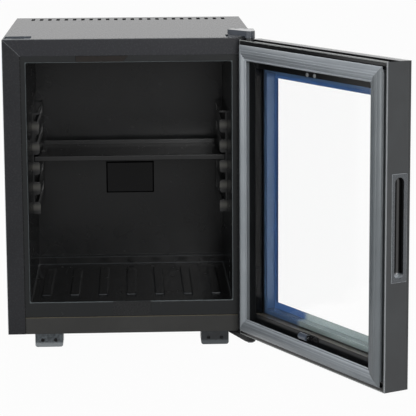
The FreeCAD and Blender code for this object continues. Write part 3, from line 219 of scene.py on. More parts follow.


# Baked polyester powder on sheet steel: satin, with painted highlight lines on the front's folded
# edges and along the mitre of its flanges, a top flange painted lighter as painted light, and a
# dark seam where the flanges end.
def makePowderCoat():
    material, tree, shader, place = newMaterial("satinPowderCoat", {"Specular IOR Level": 0.2})
    parts = partsOf(tree, place)
    flange, sideFlange = caseFront["flange"], caseFront["sideFlange"]
    toSide = mathOf(tree, "SUBTRACT", caseFront["halfWide"], mathOf(tree, "ABSOLUTE", parts["X"]))
    toTop = mathOf(tree, "SUBTRACT", caseFront["top"], parts["Z"])
    inFront = mathOf(tree, "LESS_THAN", parts["Y"], caseFront["plane"] + caseFront["skin"])
    edgeHighlightLine = mathOf(tree, "LESS_THAN", mathOf(tree, "MINIMUM", toSide, toTop), caseFront["edge"])
    mitre = mathOf(tree, "MULTIPLY", toSide, flange / sideFlange)
    fromMitre = mathOf(tree, "ABSOLUTE", mathOf(tree, "SUBTRACT", mitre, toTop))
    atTop = mathOf(tree, "LESS_THAN", toTop, flange)
    onMitre = productOf(tree, mathOf(tree, "LESS_THAN", fromMitre, caseFront["mitreHalf"]), atTop)
    edgeAndMitreHighlight = productOf(tree, inFront, mathOf(tree, "MAXIMUM", edgeHighlightLine, onMitre))
    litTopFlange = productOf(tree, inFront, atTop, mathOf(tree, "GREATER_THAN", mitre, toTop))
    seam = productOf(
        tree, inFront, mathOf(tree, "GREATER_THAN", toSide, sideFlange - caseFront["edge"]),
        mathOf(tree, "GREATER_THAN", toTop, flange),
    )
    body = patchColour(tree, place, "#212225", "#27282b")
    # The top flange is painted lighter than the rest of the front, as painted light.
    body = mixedColour(tree, litTopFlange, body, "#2c2d31")
    body = mixedColour(tree, seam, body, "#060606")
    # Painted highlight lines on the front's folded edges and along the mitre.
    tree.links.new(mixedColour(tree, edgeAndMitreHighlight, body, "#6a6d70"), shader.inputs["Base Color"])
    addGrain(tree, shader, place, sizeInMm=2.4, roughness=(0.24, 0.3), bumpInMm=0.003)
    return material


satinPowderCoat = makePowderCoat()
pan = {"railTop": 0.0495, "paleEdge": 0.0012}        # in metres


# The same powder on the flat front rail, a touch browner, and paler along its upper edge.
def makeRailCoat():
    material, tree, shader, place = newMaterial("railPowderCoat", {"Specular IOR Level": 0.15})
    parts = partsOf(tree, place)
    paler = mathOf(tree, "GREATER_THAN", parts["Z"], pan["railTop"] - pan["paleEdge"])
    body = patchColour(tree, place, "#383837", "#3e3e3d")
    tree.links.new(mixedColour(tree, paler, body, "#5c5749"), shader.inputs["Base Color"])
    addGrain(tree, shader, place, sizeInMm=2.4, roughness=(0.36, 0.46), bumpInMm=0.004)
    return material


railPowderCoat = makeRailCoat()
liner = {
    "halfWide": 0.164, "centreZ": 0.26925, "halfHigh": 0.19475,     # the opening
    "stripBack": -0.2055,              # the flat strip round the opening lies before this plane
    "lip": 0.001,
    "stripFoot": 0.0506,               # dark seam where the strip meets the front rail
    # painted highlights on narrow walls, from one height to another and behind a plane: the floor's
    # ribs and rear step
    "flanks": [(0.075, 0.0766, -0.2), (0.0877, 0.0887, 0.076)],
}


# Vacuum-formed black polystyrene: glossy and softly rippled, painted greyer on the flat strip round
# the opening as painted light against the shaded inside, with painted highlights on the lip and on
# the flanks of the floor's ribs.
def makeLinerPlastic():
    material, tree, shader, place = newMaterial("blackPolystyrene", {"Specular IOR Level": 0.2})
    parts = partsOf(tree, place)
    ahead = mathOf(tree, "LESS_THAN", parts["Y"], liner["stripBack"])
    distance = outsideOf(tree, parts, (
        ("X", 0.0, liner["halfWide"]), ("Z", liner["centreZ"], liner["halfHigh"])
    ))
    lipHighlight = mathOf(tree, "LESS_THAN", distance, liner["lip"])
    ribHighlight = 0.0
    for low, high, front in liner["flanks"]:
        band = productOf(
            tree, mathOf(tree, "GREATER_THAN", parts["Z"], low),
            mathOf(tree, "LESS_THAN", parts["Z"], high),
            mathOf(tree, "GREATER_THAN", parts["Y"], front),
        )
        ribHighlight = mathOf(tree, "MAXIMUM", band, ribHighlight)
    body = patchColour(tree, place, "#0d0e0f", "#131415")
    # The flanks of the floor's ribs and of the rear step get painted highlight lines.
    inside = mixedColour(tree, ribHighlight, body, "#34373a")
    # The flat strip is painted lighter than the shaded inside, as painted light, with a painted
    # highlight line on its lip.
    strip = mixedColour(tree, lipHighlight, "#1d1f20", "#62696b")
    foot = mathOf(tree, "LESS_THAN", parts["Z"], liner["stripFoot"])
    strip = mixedColour(tree, foot, strip, "#070707")
    tree.links.new(mixedColour(tree, ahead, inside, strip), shader.inputs["Base Color"])
    addGrain(
        tree, shader, place, sizeInMm=22.0, roughness=(0.2, 0.3), bumpInMm=0.02, roundInMm=2.5
    )
    return material


blackPolystyrene = makeLinerPlastic()
rungs = {                              # in metres
    "middle": 0.2049,                  # height of a rung's middle
    "half": 0.0171,                    # half the pitch from one rung to the next
    "brightFrom": 0.0015, "brightTo": 0.0075,      # the painted highlight fades out from its middle
    "forward": -0.5,                   # a face looks forward when its normal's Y is less
}


# Injection-moulded ABS rails, black. The fronts of the rungs have a painted highlight across their
# middle.
def makeRailPlastic():
    material, tree, shader, place = newMaterial("mouldedRail", {"Specular IOR Level": 0.4})
    height = mathOf(tree, "SUBTRACT", partsOf(tree, place)["Z"], rungs["middle"])
    offset = mathOf(tree, "PINGPONG", height, rungs["half"])
    # A painted highlight across the middle of each rung's front.
    bright = rangeOf(tree, offset, rungs["brightFrom"], rungs["brightTo"], 1.0, 0.0)
    toFront = mathOf(tree, "LESS_THAN", facing(tree, "Y"), rungs["forward"])
    body = patchColour(tree, place, "#0c0d0e", "#131415")
    paintedRungHighlight = mixedColour(tree, productOf(tree, toFront, bright), body, "#565550")
    tree.links.new(paintedRungHighlight, shader.inputs["Base Color"])
    addGrain(
        tree, shader, place, sizeInMm=6.0, roughness=(0.12, 0.2), bumpInMm=0.01, roundInMm=1.5
    )
    return material


mouldedRail = makeRailPlastic()
# Plain finishes: two colours, roughness from low to high, then grain and bump in mm
mouldedShelf = surfaceMaterial(        # moulded shelf with a slightly duller skin
    "mouldedShelf", "#0a0b0c", "#0e0f10", (0.2, 0.3), 5.0, 0.006, specular=0.3,
    roundMm=2.2)
coverGloss = surfaceMaterial(          # high-gloss acrylic cover on the rear wall
    "coverGloss", "#030304", "#060608", (0.06, 0.1), 30.0, 0.01, specular=0.12)


# Glossy black glazing bead, with a painted highlight where it looks up.
def makeTrimPlastic():
    material, tree, shader, place = newMaterial("trimAbs", {"Specular IOR Level": 0.2})
    body = patchColour(tree, place, "#0b0c0d", "#121314")
    paintedTopSheen = mixedColour(tree, lookingUp(tree, 0.15, 0.6), body, "#5a564f")
    tree.links.new(paintedTopSheen, shader.inputs["Base Color"])
    addGrain(
        tree, shader, place, sizeInMm=4.0, roughness=(0.16, 0.26), bumpInMm=0.01,
        stretch=(1, 1, 0.3),
    )
    return material


trimAbs = makeTrimPlastic()
hingeZinc = surfaceMaterial(           # painted die-cast zinc of the upper hinge arm
    "hingeZinc", "#30353e", "#3c424c", (0.18, 0.26), 1.5, 0.006, specular=0.6, coat=0.4)
pressedPan = surfaceMaterial(          # the pans in the top's corners, bluer under thin powder
    "pressedPan", "#3a4149", "#454c55", (0.3, 0.4), 2.4, 0.003, specular=0.4)
galvanisedSheet = surfaceMaterial(     # hot-dip zinc with large soft spangle
    "galvanisedSheet", "#8f9496", "#b3b7b9", (0.3, 0.5), 9.0, 0.01, patchMm=14.0, metallic=0.9)
jacketSheet = surfaceMaterial(         # aluminised wrapping of the boiler's insulation
    "jacketSheet", "#9b9d9e", "#b9bbbc", (0.32, 0.48), 5.0, 0.05, patchMm=30.0, metallic=0.85)
stoveEnamel = surfaceMaterial(         # black stoved enamel on the cooling circuit's steel tube
    "stoveEnamel", "#121314", "#1b1c1d", (0.32, 0.46), 1.8, 0.012)
brightSteel = surfaceMaterial(         # zinc-plated small steel parts, bright
    "brightSteel", "#a8aaac", "#bcbec0", (0.18, 0.32), 0.8, 0.003, metallic=1.0)
blackScrew = surfaceMaterial(          # black-passivated screws of the feet and the catch
    "blackScrew", "#080809", "#0c0c0d", (0.3, 0.42), 0.8, 0.003, specular=0.15)
dullScrew = surfaceMaterial(           # dull zinc screws of the top bead
    "dullScrew", "#7c7e80", "#8a8c8e", (0.3, 0.42), 0.8, 0.003, metallic=0.3)
rollerNylon = surfaceMaterial(         # blue-grey moulded roller of the catch
    "rollerNylon", "#454d59", "#525b68", (0.24, 0.32), 2.0, 0.004)
blackenedSteel = surfaceMaterial(      # of the catch, the keeper and the lower hinge arm
    "blackenedSteel", "#111213", "#18191a", (0.22, 0.32), 1.6, 0.006, specular=0.25)
rigidFoam = surfaceMaterial(           # polyurethane foam skin
    "rigidFoam", "#c9b98a", "#dccfa4", (0.7, 0.85), 2.5, 0.15)
greyPolypropylene = surfaceMaterial(   # tray, drain and terminal box
    "greyPolypropylene", "#26282a", "#303234", (0.36, 0.48), 1.6, 0.015)
blackRubber = surfaceMaterial(         # sealant, lead sheath and magnet strip
    "blackRubber", "#101010", "#171717", (0.5, 0.65), 1.2, 0.01)
millAluminium = surfaceMaterial(       # rolled aluminium block
    "millAluminium", "#a4a6a8", "#b8babc", (0.28, 0.42), 1.0, 0.006, metallic=1.0)
holeShadeDisc = surfaceMaterial(       # dark discs where the spacer bar's perforations are: painted shade of the holes
    "holeShadeDisc", "#1b2a48", "#223252", (0.5, 0.6), 1.0, 0.002)
smokedLens = surfaceMaterial(          # smoked polycarbonate lamp cover
    "smokedLens", "#1d1917", "#25201d", (0.1, 0.16), 8.0, 0.005, specular=0.2)
circuitBoard = surfaceMaterial(        # solder-masked glass-epoxy board
    "circuitBoard", "#1d4a34", "#24573e", (0.3, 0.4), 2.0, 0.01)
soleBand = {"ragged": 0.004, "from": 0.0035, "to": 0.0065}         # in metres above the floor


# Moulded polypropylene feet, mottled, paler along the sole, and darker at the right as painted
# shade.
def makeFootPlastic():
    material, tree, shader, place = newMaterial("footPlastic", {"Specular IOR Level": 0.3})
    parts = partsOf(tree, place)
    ragged = mathOf(tree, "MULTIPLY", noiseOf(tree, place, 3.0), soleBand["ragged"])
    height = mathOf(tree, "SUBTRACT", parts["Z"], ragged)
    above = rangeOf(tree, height, soleBand["from"], soleBand["to"])
    mottle = noiseOf(tree, place, 4.0)
    # The left pair is painted lighter and the right pair darker, as painted light and shade.
    onRight = mathOf(tree, "GREATER_THAN", parts["X"], 0.0)
    paler = colourBetween(tree, mottle, "#25292c", "#565c60")
    body = mixedColour(tree, onRight, paler, colourBetween(tree, mottle, "#131517", "#25282b"))
    sole = mixedColour(tree, onRight, "#8b9093", "#4f5457")
    tree.links.new(mixedColour(tree, above, sole, body), shader.inputs["Base Color"])
    addGrain(tree, shader, place, sizeInMm=1.4, roughness=(0.34, 0.46), bumpInMm=0.015)
    return material


footPlastic = makeFootPlastic()

door = {                               # in metres from the hinge axis, and up from the floor
    "axis": (0.1915, -0.232),          # hinge axis in the part's frame, from the joint
    "openDegrees": 117.5,
    "hingeEdge": 0.009, "handleEdge": -0.392, "low": 0.0235, "high": 0.5005,
    "border": 0.0535, "borderEnds": 0.058,         # printed border of the outer pane
    "blueFrom": -0.0226,               # the print is blue from inside the unit, black from outside
    "rim": 0.0001,                     # the pane's ground rim
    "barLip": 0.0133, "lipWidth": 0.0016,          # painted highlight on the bars' lip: its depth and width
    "gripMiddle": -0.0088, "gripHalfWide": 0.0135,
    "gripCentre": 0.262, "gripHalfHigh": 0.079, "gripEdge": 0.0009,
    "cupFrom": 0.0013,                 # the grip's cup starts this far in from the door's edge
    "paleBelow": 0.1,                  # a pale reflection is painted on the unit's foot, apart from next to the hinge
    "paleFrom": -0.125, "paleFade": 0.012,
    "paleFootReflection": "#93a0a0",
}


# Coordinates on the shut door, measured from the hinge axis.
def doorPlace(tree, place):
    axisX, axisY = door["axis"]
    moved = addNode(
        tree, "ShaderNodeMapping", {"Location": (-axisX, -axisY, 0)}, {"Vector": place}
    )
    return addNode(
        tree, "ShaderNodeMapping", {"Rotation": (0, 0, -math.radians(door["openDegrees"]))},
        {"Vector": moved.outputs["Vector"]},
    ).outputs["Vector"]


# The door's outline, or one that lies inside it, for outsideOf.
def doorSides(insideX=0.0, insideZ=0.0):
    right, left, high, low = (door[key] for key in ("hingeEdge", "handleEdge", "high", "low"))
    return (
        ("X", (right + left) / 2, (right - left) / 2 - insideX),
        ("Z", (low + high) / 2, (high - low) / 2 - insideZ),
    )


# 1 within the given distance of the door's outline.
def atOutline(tree, parts, width):
    return mathOf(tree, "GREATER_THAN", outsideOf(tree, parts, doorSides()), -width)


gasketTones = {                        # painted light and shade of the strip's four sides, from low to high
    "top": ("#8a9096", "#959ba1"), "bottom": ("#7c8287", "#878d92"),
    "hingeSide": ("#8d9398", "#989ea3"), "handleSide": ("#676d71", "#70767a"),
}


# Plasticised PVC gasket: a dull sheen, with a painted highlight where it looks up. Each side is
# painted its own tone, as painted light and shade.
def makeGasketVinyl():
    material, tree, shader, place = newMaterial("softVinyl", {"Specular IOR Level": 0.5})
    parts = partsOf(tree, doorPlace(tree, place))
    patches = noiseOf(tree, place, 60.0)
    positive, reach = {}, {}
    for axis, middle, half in doorSides():
        offset = mathOf(tree, "SUBTRACT", parts[axis], middle)
        positive[axis] = mathOf(tree, "GREATER_THAN", offset, 0.0)
        reach[axis] = mathOf(tree, "SUBTRACT", mathOf(tree, "ABSOLUTE", offset), half)
    # Each side's tone is painted light or shade: the handle side darker, the hinge side and top
    # lighter.
    tones = {side: colourBetween(tree, patches, *pair) for side, pair in gasketTones.items()}
    level = mixedColour(tree, positive["Z"], tones["bottom"], tones["top"])
    upright = mixedColour(tree, positive["X"], tones["handleSide"], tones["hingeSide"])
    isUpright = mathOf(tree, "GREATER_THAN", reach["X"], reach["Z"])
    body = mixedColour(tree, isUpright, level, upright)
    # Painted highlight where the strip looks up.
    paintedUpHighlight = mixedColour(tree, lookingUp(tree, 0.45, 0.9), body, "#c3cad1")
    tree.links.new(paintedUpHighlight, shader.inputs["Base Color"])
    addGrain(
        tree, shader, place, sizeInMm=3.0, roughness=(0.34, 0.44), bumpInMm=0.004, roundInMm=0.3
    )
    return material


softVinyl = makeGasketVinyl()


# 1 on the foot of the glazing unit's border, away from the hinge, where a pale reflection is
# painted.
def paleFootReflection(tree, parts):
    low = mathOf(tree, "LESS_THAN", parts["Z"], door["paleBelow"])
    start = door["paleFrom"]
    away = rangeOf(tree, parts["X"], start - door["paleFade"], start, 1.0, 0.0)
    return productOf(tree, low, away)


# Anodised spacer bar, cool blue behind the coated glass, with a painted pale reflection on its foot
# away from the hinge.
def makeSpacerFinish():
    material, tree, shader, place = newMaterial("blueSpacer", {"Metallic": 0.2})
    parts = partsOf(tree, doorPlace(tree, place))
    blue = patchColour(tree, place, "#475f80", "#516a8b", 120.0)
    body = mixedColour(tree, paleFootReflection(tree, parts), blue, door["paleFootReflection"])
    tree.links.new(body, shader.inputs["Base Color"])
    shine = rangeOf(tree, noiseOf(tree, place, 3.0, detail=2.0), low=0.12, high=0.2)
    tree.links.new(shine, shader.inputs["Roughness"])
    return material


blueSpacer = makeSpacerFinish()


# Float glass. The outer pane has a screen-printed border and a ground rim, the rim with a painted
# highlight where it looks up.
def makeFloatGlass(name, printed):
    material, tree, shader, place = newMaterial(
        name, {"Roughness": 0.0, "IOR": 1.1, "Transmission Weight": 1.0,
               "Base Color": hexColour("#ffffff")}
    )
    if not printed:
        return material
    parts = partsOf(tree, doorPlace(tree, place))
    border = outsideOf(tree, parts, doorSides(door["border"], door["borderEnds"]))
    printedOn = mathOf(tree, "GREATER_THAN", border, 0.0)
    inward = mathOf(
        tree, "MAXIMUM", addNode(tree, "ShaderNodeNewGeometry").outputs["Backfacing"],
        mathOf(tree, "GREATER_THAN", parts["Y"], door["blueFrom"]),
    )
    blue = patchColour(tree, place, "#324f7d", "#3b5986", 90.0)
    # Painted pale reflection on the print's foot, away from the hinge.
    back = mixedColour(tree, paleFootReflection(tree, parts), blue, door["paleFootReflection"])
    # The ground rim gets a painted highlight where it looks up.
    rim = mixedColour(tree, lookingUp(tree, 0.5, 0.9), "#36393b", "#c5cac8")
    coated = mixedColour(
        tree, atOutline(tree, parts, door["rim"]), mixedColour(tree, inward, "#0b0c0e", back), rim
    )
    ink = addNode(tree, "ShaderNodeBsdfPrincipled", {"Roughness": 0.12, "Specular IOR Level": 0.5})
    tree.links.new(coated, ink.inputs["Base Color"])
    surface = tree.nodes["Material Output"].inputs["Surface"]
    tree.links.new(mixedShader(tree, printedOn, shader, ink), surface)
    return material


# Moulded grip: a bluish grey plate with painted highlight lines on its edges, and a glossy black
# cup with a painted highlight where it looks up.
def makeGripPlastic():
    material, tree, shader, place = newMaterial("gripAbs", {"Specular IOR Level": 0.8})
    parts = partsOf(tree, doorPlace(tree, place))
    inside = mathOf(tree, "GREATER_THAN", parts["X"], door["handleEdge"] + door["cupFrom"])
    distance = outsideOf(tree, parts, (
        ("Y", door["gripMiddle"], door["gripHalfWide"]),
        ("Z", door["gripCentre"], door["gripHalfHigh"]),
    ))
    # Painted highlight lines on the plate's edges.
    edgeHighlightLine = mathOf(tree, "GREATER_THAN", distance, -door["gripEdge"])
    plate = mixedColour(tree, edgeHighlightLine, patchColour(tree, place, "#484d52", "#51565b"), "#9ba1a6")
    # The cup's up-facing scoop gets a painted highlight.
    cup = mixedColour(tree, lookingUp(tree, 0.1, 0.7), "#0a0b0c", "#ccd3da")
    tree.links.new(mixedColour(tree, inside, plate, cup), shader.inputs["Base Color"])
    grain = noiseOf(tree, place, 1.2, detail=2.0)
    satin = rangeOf(tree, grain, low=0.24, high=0.3)
    shine = addNode(tree, "ShaderNodeMix", {"B": 0.14}, {"Factor": inside, "A": satin})
    tree.links.new(shine.outputs["Result"], shader.inputs["Roughness"])
    bumpFrom(tree, shader, grain, 0.004)
    return material


# Extruded ABS bar with a fine drawn grain, and a painted highlight line on the lip along the door's
# outline.
def makeBarPlastic(name, low, high, lip, roughness, specular):
    material, tree, shader, place = newMaterial(name, {"Specular IOR Level": specular})
    parts = partsOf(tree, doorPlace(tree, place))
    lipHighlight = productOf(
        tree, atOutline(tree, parts, door["lipWidth"]),
        mathOf(tree, "GREATER_THAN", parts["Y"], door["barLip"]),
    )
    body = patchColour(tree, place, low, high)
    tree.links.new(mixedColour(tree, lipHighlight, body, lip), shader.inputs["Base Color"])
    addGrain(tree, shader, place, 1.6, roughness, bumpInMm=0.0005, stretch=(1, 1, 0.15))
    return material


barAbs = makeBarPlastic("barAbs", "#0f1011", "#161718", "#8d908f", (0.18, 0.24), 0.35)
# The handle stile is the same bar plastic, painted lighter as painted light on its lit edge.
litStileAbs = makeBarPlastic("litStileAbs", "#3b3d3f", "#434648", "#a3a7aa", (0.3, 0.38), 0.5)
gripAbs = makeGripPlastic()
printedGlass = makeFloatGlass("printedFloatGlass", True)
clearGlass = makeFloatGlass("clearFloatGlass", False)

finishes = {
    satinPowderCoat: ["outer_case"],
    pressedPan: ["hinge_seat_left", "hinge_seat_right"],
    railPowderCoat: ["base_pan"],
    blackPolystyrene: ["inner_liner"],
    mouldedRail: ["shelf_rail_left", "shelf_rail_right"],
    mouldedShelf: ["shelf"],
    coverGloss: ["rear_wall_cover"],
    barAbs: ["frame_top", "frame_bottom", "frame_hinge_stile"],
    litStileAbs: ["frame_handle_stile"],
    gripAbs: ["handle_cup"],
    trimAbs: ["trim_top", "trim_bottom", "trim_hinge_side", "trim_handle_side"],
    softVinyl: ["door_gasket"],
    hingeZinc: ["hinge_bracket_top"],
    footPlastic: ["foot_front_left", "foot_front_right", "foot_rear_left", "foot_rear_right"],
    galvanisedSheet: ["back_plate", "unit_straps"],
    jacketSheet: ["boiler_jacket"],
    stoveEnamel: ["condenser", "absorber_coil", "absorber_vessel", "evaporator_tube"],
    blackScrew: ["foot_screws"],
    brightSteel: ["hinge_pin_top", "hinge_pin_bottom", "hinge_screws", "unit_screws",
                  "door_screws", "catch_pin", "heater_cartridge"],
    blackenedSteel: ["catch_bracket", "keeper_plate", "hinge_bracket_bottom"],
    rollerNylon: ["catch_roller"],
    rigidFoam: ["insulation_foam"],
    greyPolypropylene: ["drain_tube", "drip_tray", "control_box", "power_inlet",
                        "hinge_bush_top", "hinge_bush_bottom"],
    blackRubber: ["edge_sealant", "heater_lead", "gasket_magnets"],
    millAluminium: ["evaporator_block"],
    blueSpacer: ["glass_spacer"],
    smokedLens: ["lamp_lens"],
    circuitBoard: ["lamp_board"],
    printedGlass: ["glass_outer"],
    clearGlass: ["glass_inner"],
}
finishOf = {name: material for material, names in finishes.items() for name in names}
for name, material in finishOf.items():
    for slot in nodes[name].material_slots:
        slot.link = "OBJECT"
        slot.material = material
bodyOf = {
    name: body for body, names in frame["record"]["behaviour"]["bodies"].items() for name in names
}
print("stage: finishes assigned")


# Pieces of the scene

def addObject(name, data):
    holder = bpy.data.objects.new(name, data)
    bpy.context.scene.collection.objects.link(holder)
    return holder


# A finished mesh as a piece that rides on a body, and stands for the nodes it replaces.
def addPiece(name, mesh, body, replaced=()):
    piece = addObject(name, mesh)
    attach(piece, body)
    if replaced:
        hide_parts(*replaced)
    return piece


def meshFrom(shape, name, material=None):
    mesh = bpy.data.meshes.new(name)
    shape.to_mesh(mesh)
    shape.free()
    if material:
        mesh.materials.append(material)
    return mesh


def smoothed(shape):
    for face in shape.faces:
        face.smooth = True


# The holder's mesh with its modifiers applied. The holder is removed.
def settled(holder, name):
    graph = bpy.context.evaluated_depsgraph_get()
    mesh = bpy.data.meshes.new_from_object(holder.evaluated_get(graph), depsgraph=graph)
    mesh.name = name
    bpy.data.objects.remove(holder)
    return mesh


creases = {"softened": 40, "shaded": 38, "gasket": 48}     # in degrees: a crease is sharper
weldWithin = 0.002                     # in mm
softEdges = {                          # width of the soft edge in mm, and the nodes that get it
    0.25: ["catch_bracket", "keeper_plate", "trim_top", "trim_bottom", "trim_hinge_side",
           "trim_handle_side"],
    0.35: ["rear_wall_cover"],
    0.6: ["frame_top", "frame_bottom", "frame_hinge_stile", "hinge_bracket_top",
          "hinge_bracket_bottom",
          "foot_front_left", "foot_front_right", "foot_rear_left", "foot_rear_right"],
}


# The node's own shape with its sharp edges rounded a little, so that they catch the light.
def softened(name, width):
    shape = bmesh.new()
    shape.from_mesh(nodes[name].data)
    shape.transform(nodes[name].matrix_world)
    bmesh.ops.remove_doubles(shape, verts=shape.verts, dist=weldWithin * millimetre)
    crease = math.radians(creases["softened"])
    sharp = [
        edge for edge in shape.edges
        if len(edge.link_faces) == 2 and edge.calc_face_angle(0.0) > crease
    ]
    bmesh.ops.bevel(
        shape, geom=sharp, offset=width * millimetre, offset_type="OFFSET", segments=2,
        profile=0.5, affect="EDGES", clamp_overlap=True,
    )
    smoothed(shape)
    mesh = meshFrom(shape, name + "Soft", finishOf[name])
    mesh.set_sharp_from_angle(angle=math.radians(creases["shaded"]))
    holder = addObject("holder", mesh)
    holder.modifiers.new("flats", "WEIGHTED_NORMAL").keep_sharp = True
    return settled(holder, name + "Soft")


for width, names in softEdges.items():
    for name in names:
        addPiece(name + "Soft", softened(name, width), bodyOf[name], [name])
print("stage: soft edges")


# World point of a place on the shut door, given in millimetres from the hinge axis.
def doorPoint(x, y, z):
    angle = math.radians(door["openDegrees"])
    axisX, axisY = door["axis"]
    return Vector((
        axisX + (math.cos(angle) * x - math.sin(angle) * y) * millimetre,
        axisY + (math.sin(angle) * x + math.cos(angle) * y) * millimetre,
        z * millimetre,
    ))


# Left, right, low and high edges of the door in mm, or of an outline that lies inside it.
def doorEdges(inset=0.0):
    return (
        door["handleEdge"] / millimetre + inset, door["hingeEdge"] / millimetre - inset,
        door["low"] / millimetre + inset, door["high"] / millimetre - inset,
    )


# Faces between each ring of vertices and the next.
def skinned(shape, rings, following):
    for ring, other in zip(rings, following):
        for i in range(len(ring)):
            j = (i + 1) % len(ring)
            shape.faces.new((ring[i], ring[j], other[j], other[i]))


gasket = {
    # (inset from the door's edge, depth from the hinge axis), once round the section
    "section": [
        (7.1, 17.6), (7.5, 18.7), (8.9, 19.9), (11.2, 21.2), (13.9, 22.1), (14.3, 21.9),
        (14.7, 22.5), (17.9, 23.4), (18.3, 23.2), (18.7, 23.65), (21.9, 23.6), (22.3, 23.2),
        (22.7, 23.55), (25.0, 23.2), (26.8, 22.3), (27.5, 21.3), (28.0, 21.0),
        (28.8, 21.6), (30.0, 21.8), (30.9, 21.0), (30.9, 19.6), (30.2, 18.7), (27.0, 18.3),
        (24.5, 17.6), (26.3, 16.0), (24.0, 14.2), (22.0, 12.4), (21.9, 7.1), (13.1, 7.1),
        (13.1, 10.6), (15.2, 12.6), (12.6, 14.6), (14.6, 16.6), (11.5, 18.2), (8.0, 18.6),
    ],
    "seamHalf": 0.5,
    "seamDepth": 0.35,
}


# Tubular sealing strip with a bellows behind its cushion, welded on the mitre at each corner.
def makeGasket():
    shape = bmesh.new()
    section = gasket["section"]
    left, right, low, high = doorEdges()
    centre = Vector([sum(each[i] for each in section) / len(section) for i in (0, 1)])
    corners = [(left, low, 1, 1), (right, low, -1, 1), (right, high, -1, -1), (left, high, 1, -1)]
    rings = []
    for number, (x, z, inX, inZ) in enumerate(corners):
        alongX = number % 2 == 0
        for step in (-1, 0, 1):        # before the weld, in its groove, and after it
            away = gasket["seamHalf"] * abs(step)
            shiftX = away * inX if (step > 0) == alongX else 0.0
            shiftZ = away * inZ if (step > 0) != alongX else 0.0
            sunk = 0.0 if step else gasket["seamDepth"]
            ring = []
            for point in map(Vector, section):
                t, y = point + (centre - point).normalized() * sunk
                place = doorPoint(x + inX * t + shiftX, y, z + inZ * t + shiftZ)
                ring.append(shape.verts.new(place))
            rings.append(ring)
    skinned(shape, rings, rings[1:] + rings[:1])
    bmesh.ops.recalc_face_normals(shape, faces=shape.faces)
    smoothed(shape)
    mesh = meshFrom(shape, "gasketStrip", softVinyl)
    mesh.set_sharp_from_angle(angle=math.radians(creases["gasket"]))
    addPiece("gasketStrip", mesh, "door", ["door_gasket"])


makeGasket()
print("stage: gasket")


# Rows of equal small parts

# Copies of one small part in a straight row, each turned alike and then spun a little.
def makeRowTree():
    tree = bpy.data.node_groups.new("rowOfParts", "GeometryNodeTree")
    face = tree.interface
    face.new_socket("Geometry", in_out="INPUT", socket_type="NodeSocketGeometry")
    for label, kind in (
        ("Count", "NodeSocketInt"), ("Start", "NodeSocketVector"), ("Step", "NodeSocketVector"),
        ("Turn", "NodeSocketVector"), ("Spin", "NodeSocketFloat"), ("Seed", "NodeSocketInt"),
        ("Part", "NodeSocketObject"), ("Finish", "NodeSocketMaterial"),
    ):
        face.new_socket(label, in_out="INPUT", socket_type=kind)
    face.new_socket("Geometry", in_out="OUTPUT", socket_type="NodeSocketGeometry")
    given = addNode(tree, "NodeGroupInput").outputs
    line = addNode(
        tree, "GeometryNodeMeshLine",
        links={"Count": given["Count"], "Start Location": given["Start"], "Offset": given["Step"]},
    )
    part = addNode(tree, "GeometryNodeObjectInfo", links={"Object": given["Part"]})
    spin = addNode(                    # its sockets 2 and 3 are the least and the most
        tree, "FunctionNodeRandomValue", {2: 0.0}, {3: given["Spin"], "Seed": given["Seed"]},
        data_type="FLOAT",
    )
    about = addNode(
        tree, "FunctionNodeAxisAngleToRotation", {"Axis": (0, 0, 1)}, {"Angle": spin.outputs[1]}
    )
    turn = addNode(tree, "FunctionNodeEulerToRotation", links={"Euler": given["Turn"]})
    both = addNode(
        tree, "FunctionNodeRotateRotation",
        links={"Rotation": turn.outputs[0], "Rotate By": about.outputs[0]}, rotation_space="LOCAL",
    )
    copies = addNode(
        tree, "GeometryNodeInstanceOnPoints",
        links={"Points": line.outputs[0], "Instance": part.outputs["Geometry"],
               "Rotation": both.outputs[0]},
    )
    whole = addNode(tree, "GeometryNodeRealizeInstances", links={"Geometry": copies.outputs[0]})
    painted = addNode(
        tree, "GeometryNodeSetMaterial",
        links={"Geometry": whole.outputs[0], "Material": given["Finish"]},
    )
    addNode(tree, "NodeGroupOutput", links={"Geometry": painted.outputs[0]})
    return tree


rowTree = makeRowTree()


def rowMesh(part, material, count, start, step, turn, spin, seed):
    holder = addObject("row", bpy.data.meshes.new("row"))
    modifier = holder.modifiers.new("row", "NODES")
    values = {
        "Count": count, "Start": start, "Step": step, "Turn": turn, "Spin": spin, "Seed": seed,
        "Part": part, "Finish": material,
    }
    modifier.node_group = rowTree
    for item in rowTree.interface.items_tree:
        if item.in_out == "INPUT" and item.name in values:
            modifier[item.identifier] = values[item.name]
    return settled(holder, "row")


# One piece from several rows of (count, start, step, turn). The part itself is then removed.
def addRows(name, body, material, part, rows, replaced=(), spin=0.0):
    shape = bmesh.new()
    for seed, (count, start, step, turn) in enumerate(rows):
        mesh = rowMesh(part, material, count, start, step, turn, spin, seed)
        shape.from_mesh(mesh)
        bpy.data.meshes.remove(mesh)
    bpy.data.objects.remove(part)
    mesh = meshFrom(shape, name, material)
    mesh.set_sharp_from_angle(angle=math.radians(creases["shaded"]))
    return addPiece(name, mesh, body, replaced)


# A turned part about Z, from (radius, height) points in mm.
def lathed(name, outline, steps=24):
    shape = bmesh.new()
    rings = []
    for radius, height in outline:
        angles = [2 * math.pi * i / steps for i in range(steps)]
        rings.append([
            shape.verts.new((
                radius * math.cos(angle) * millimetre, radius * math.sin(angle) * millimetre,
                height * millimetre,
            ))
            for angle in angles
        ])
    skinned(shape, rings, rings[1:])
    shape.faces.new(list(reversed(rings[0])))
    shape.faces.new(rings[-1])
    smoothed(shape)
    return addObject(name, meshFrom(shape, name))


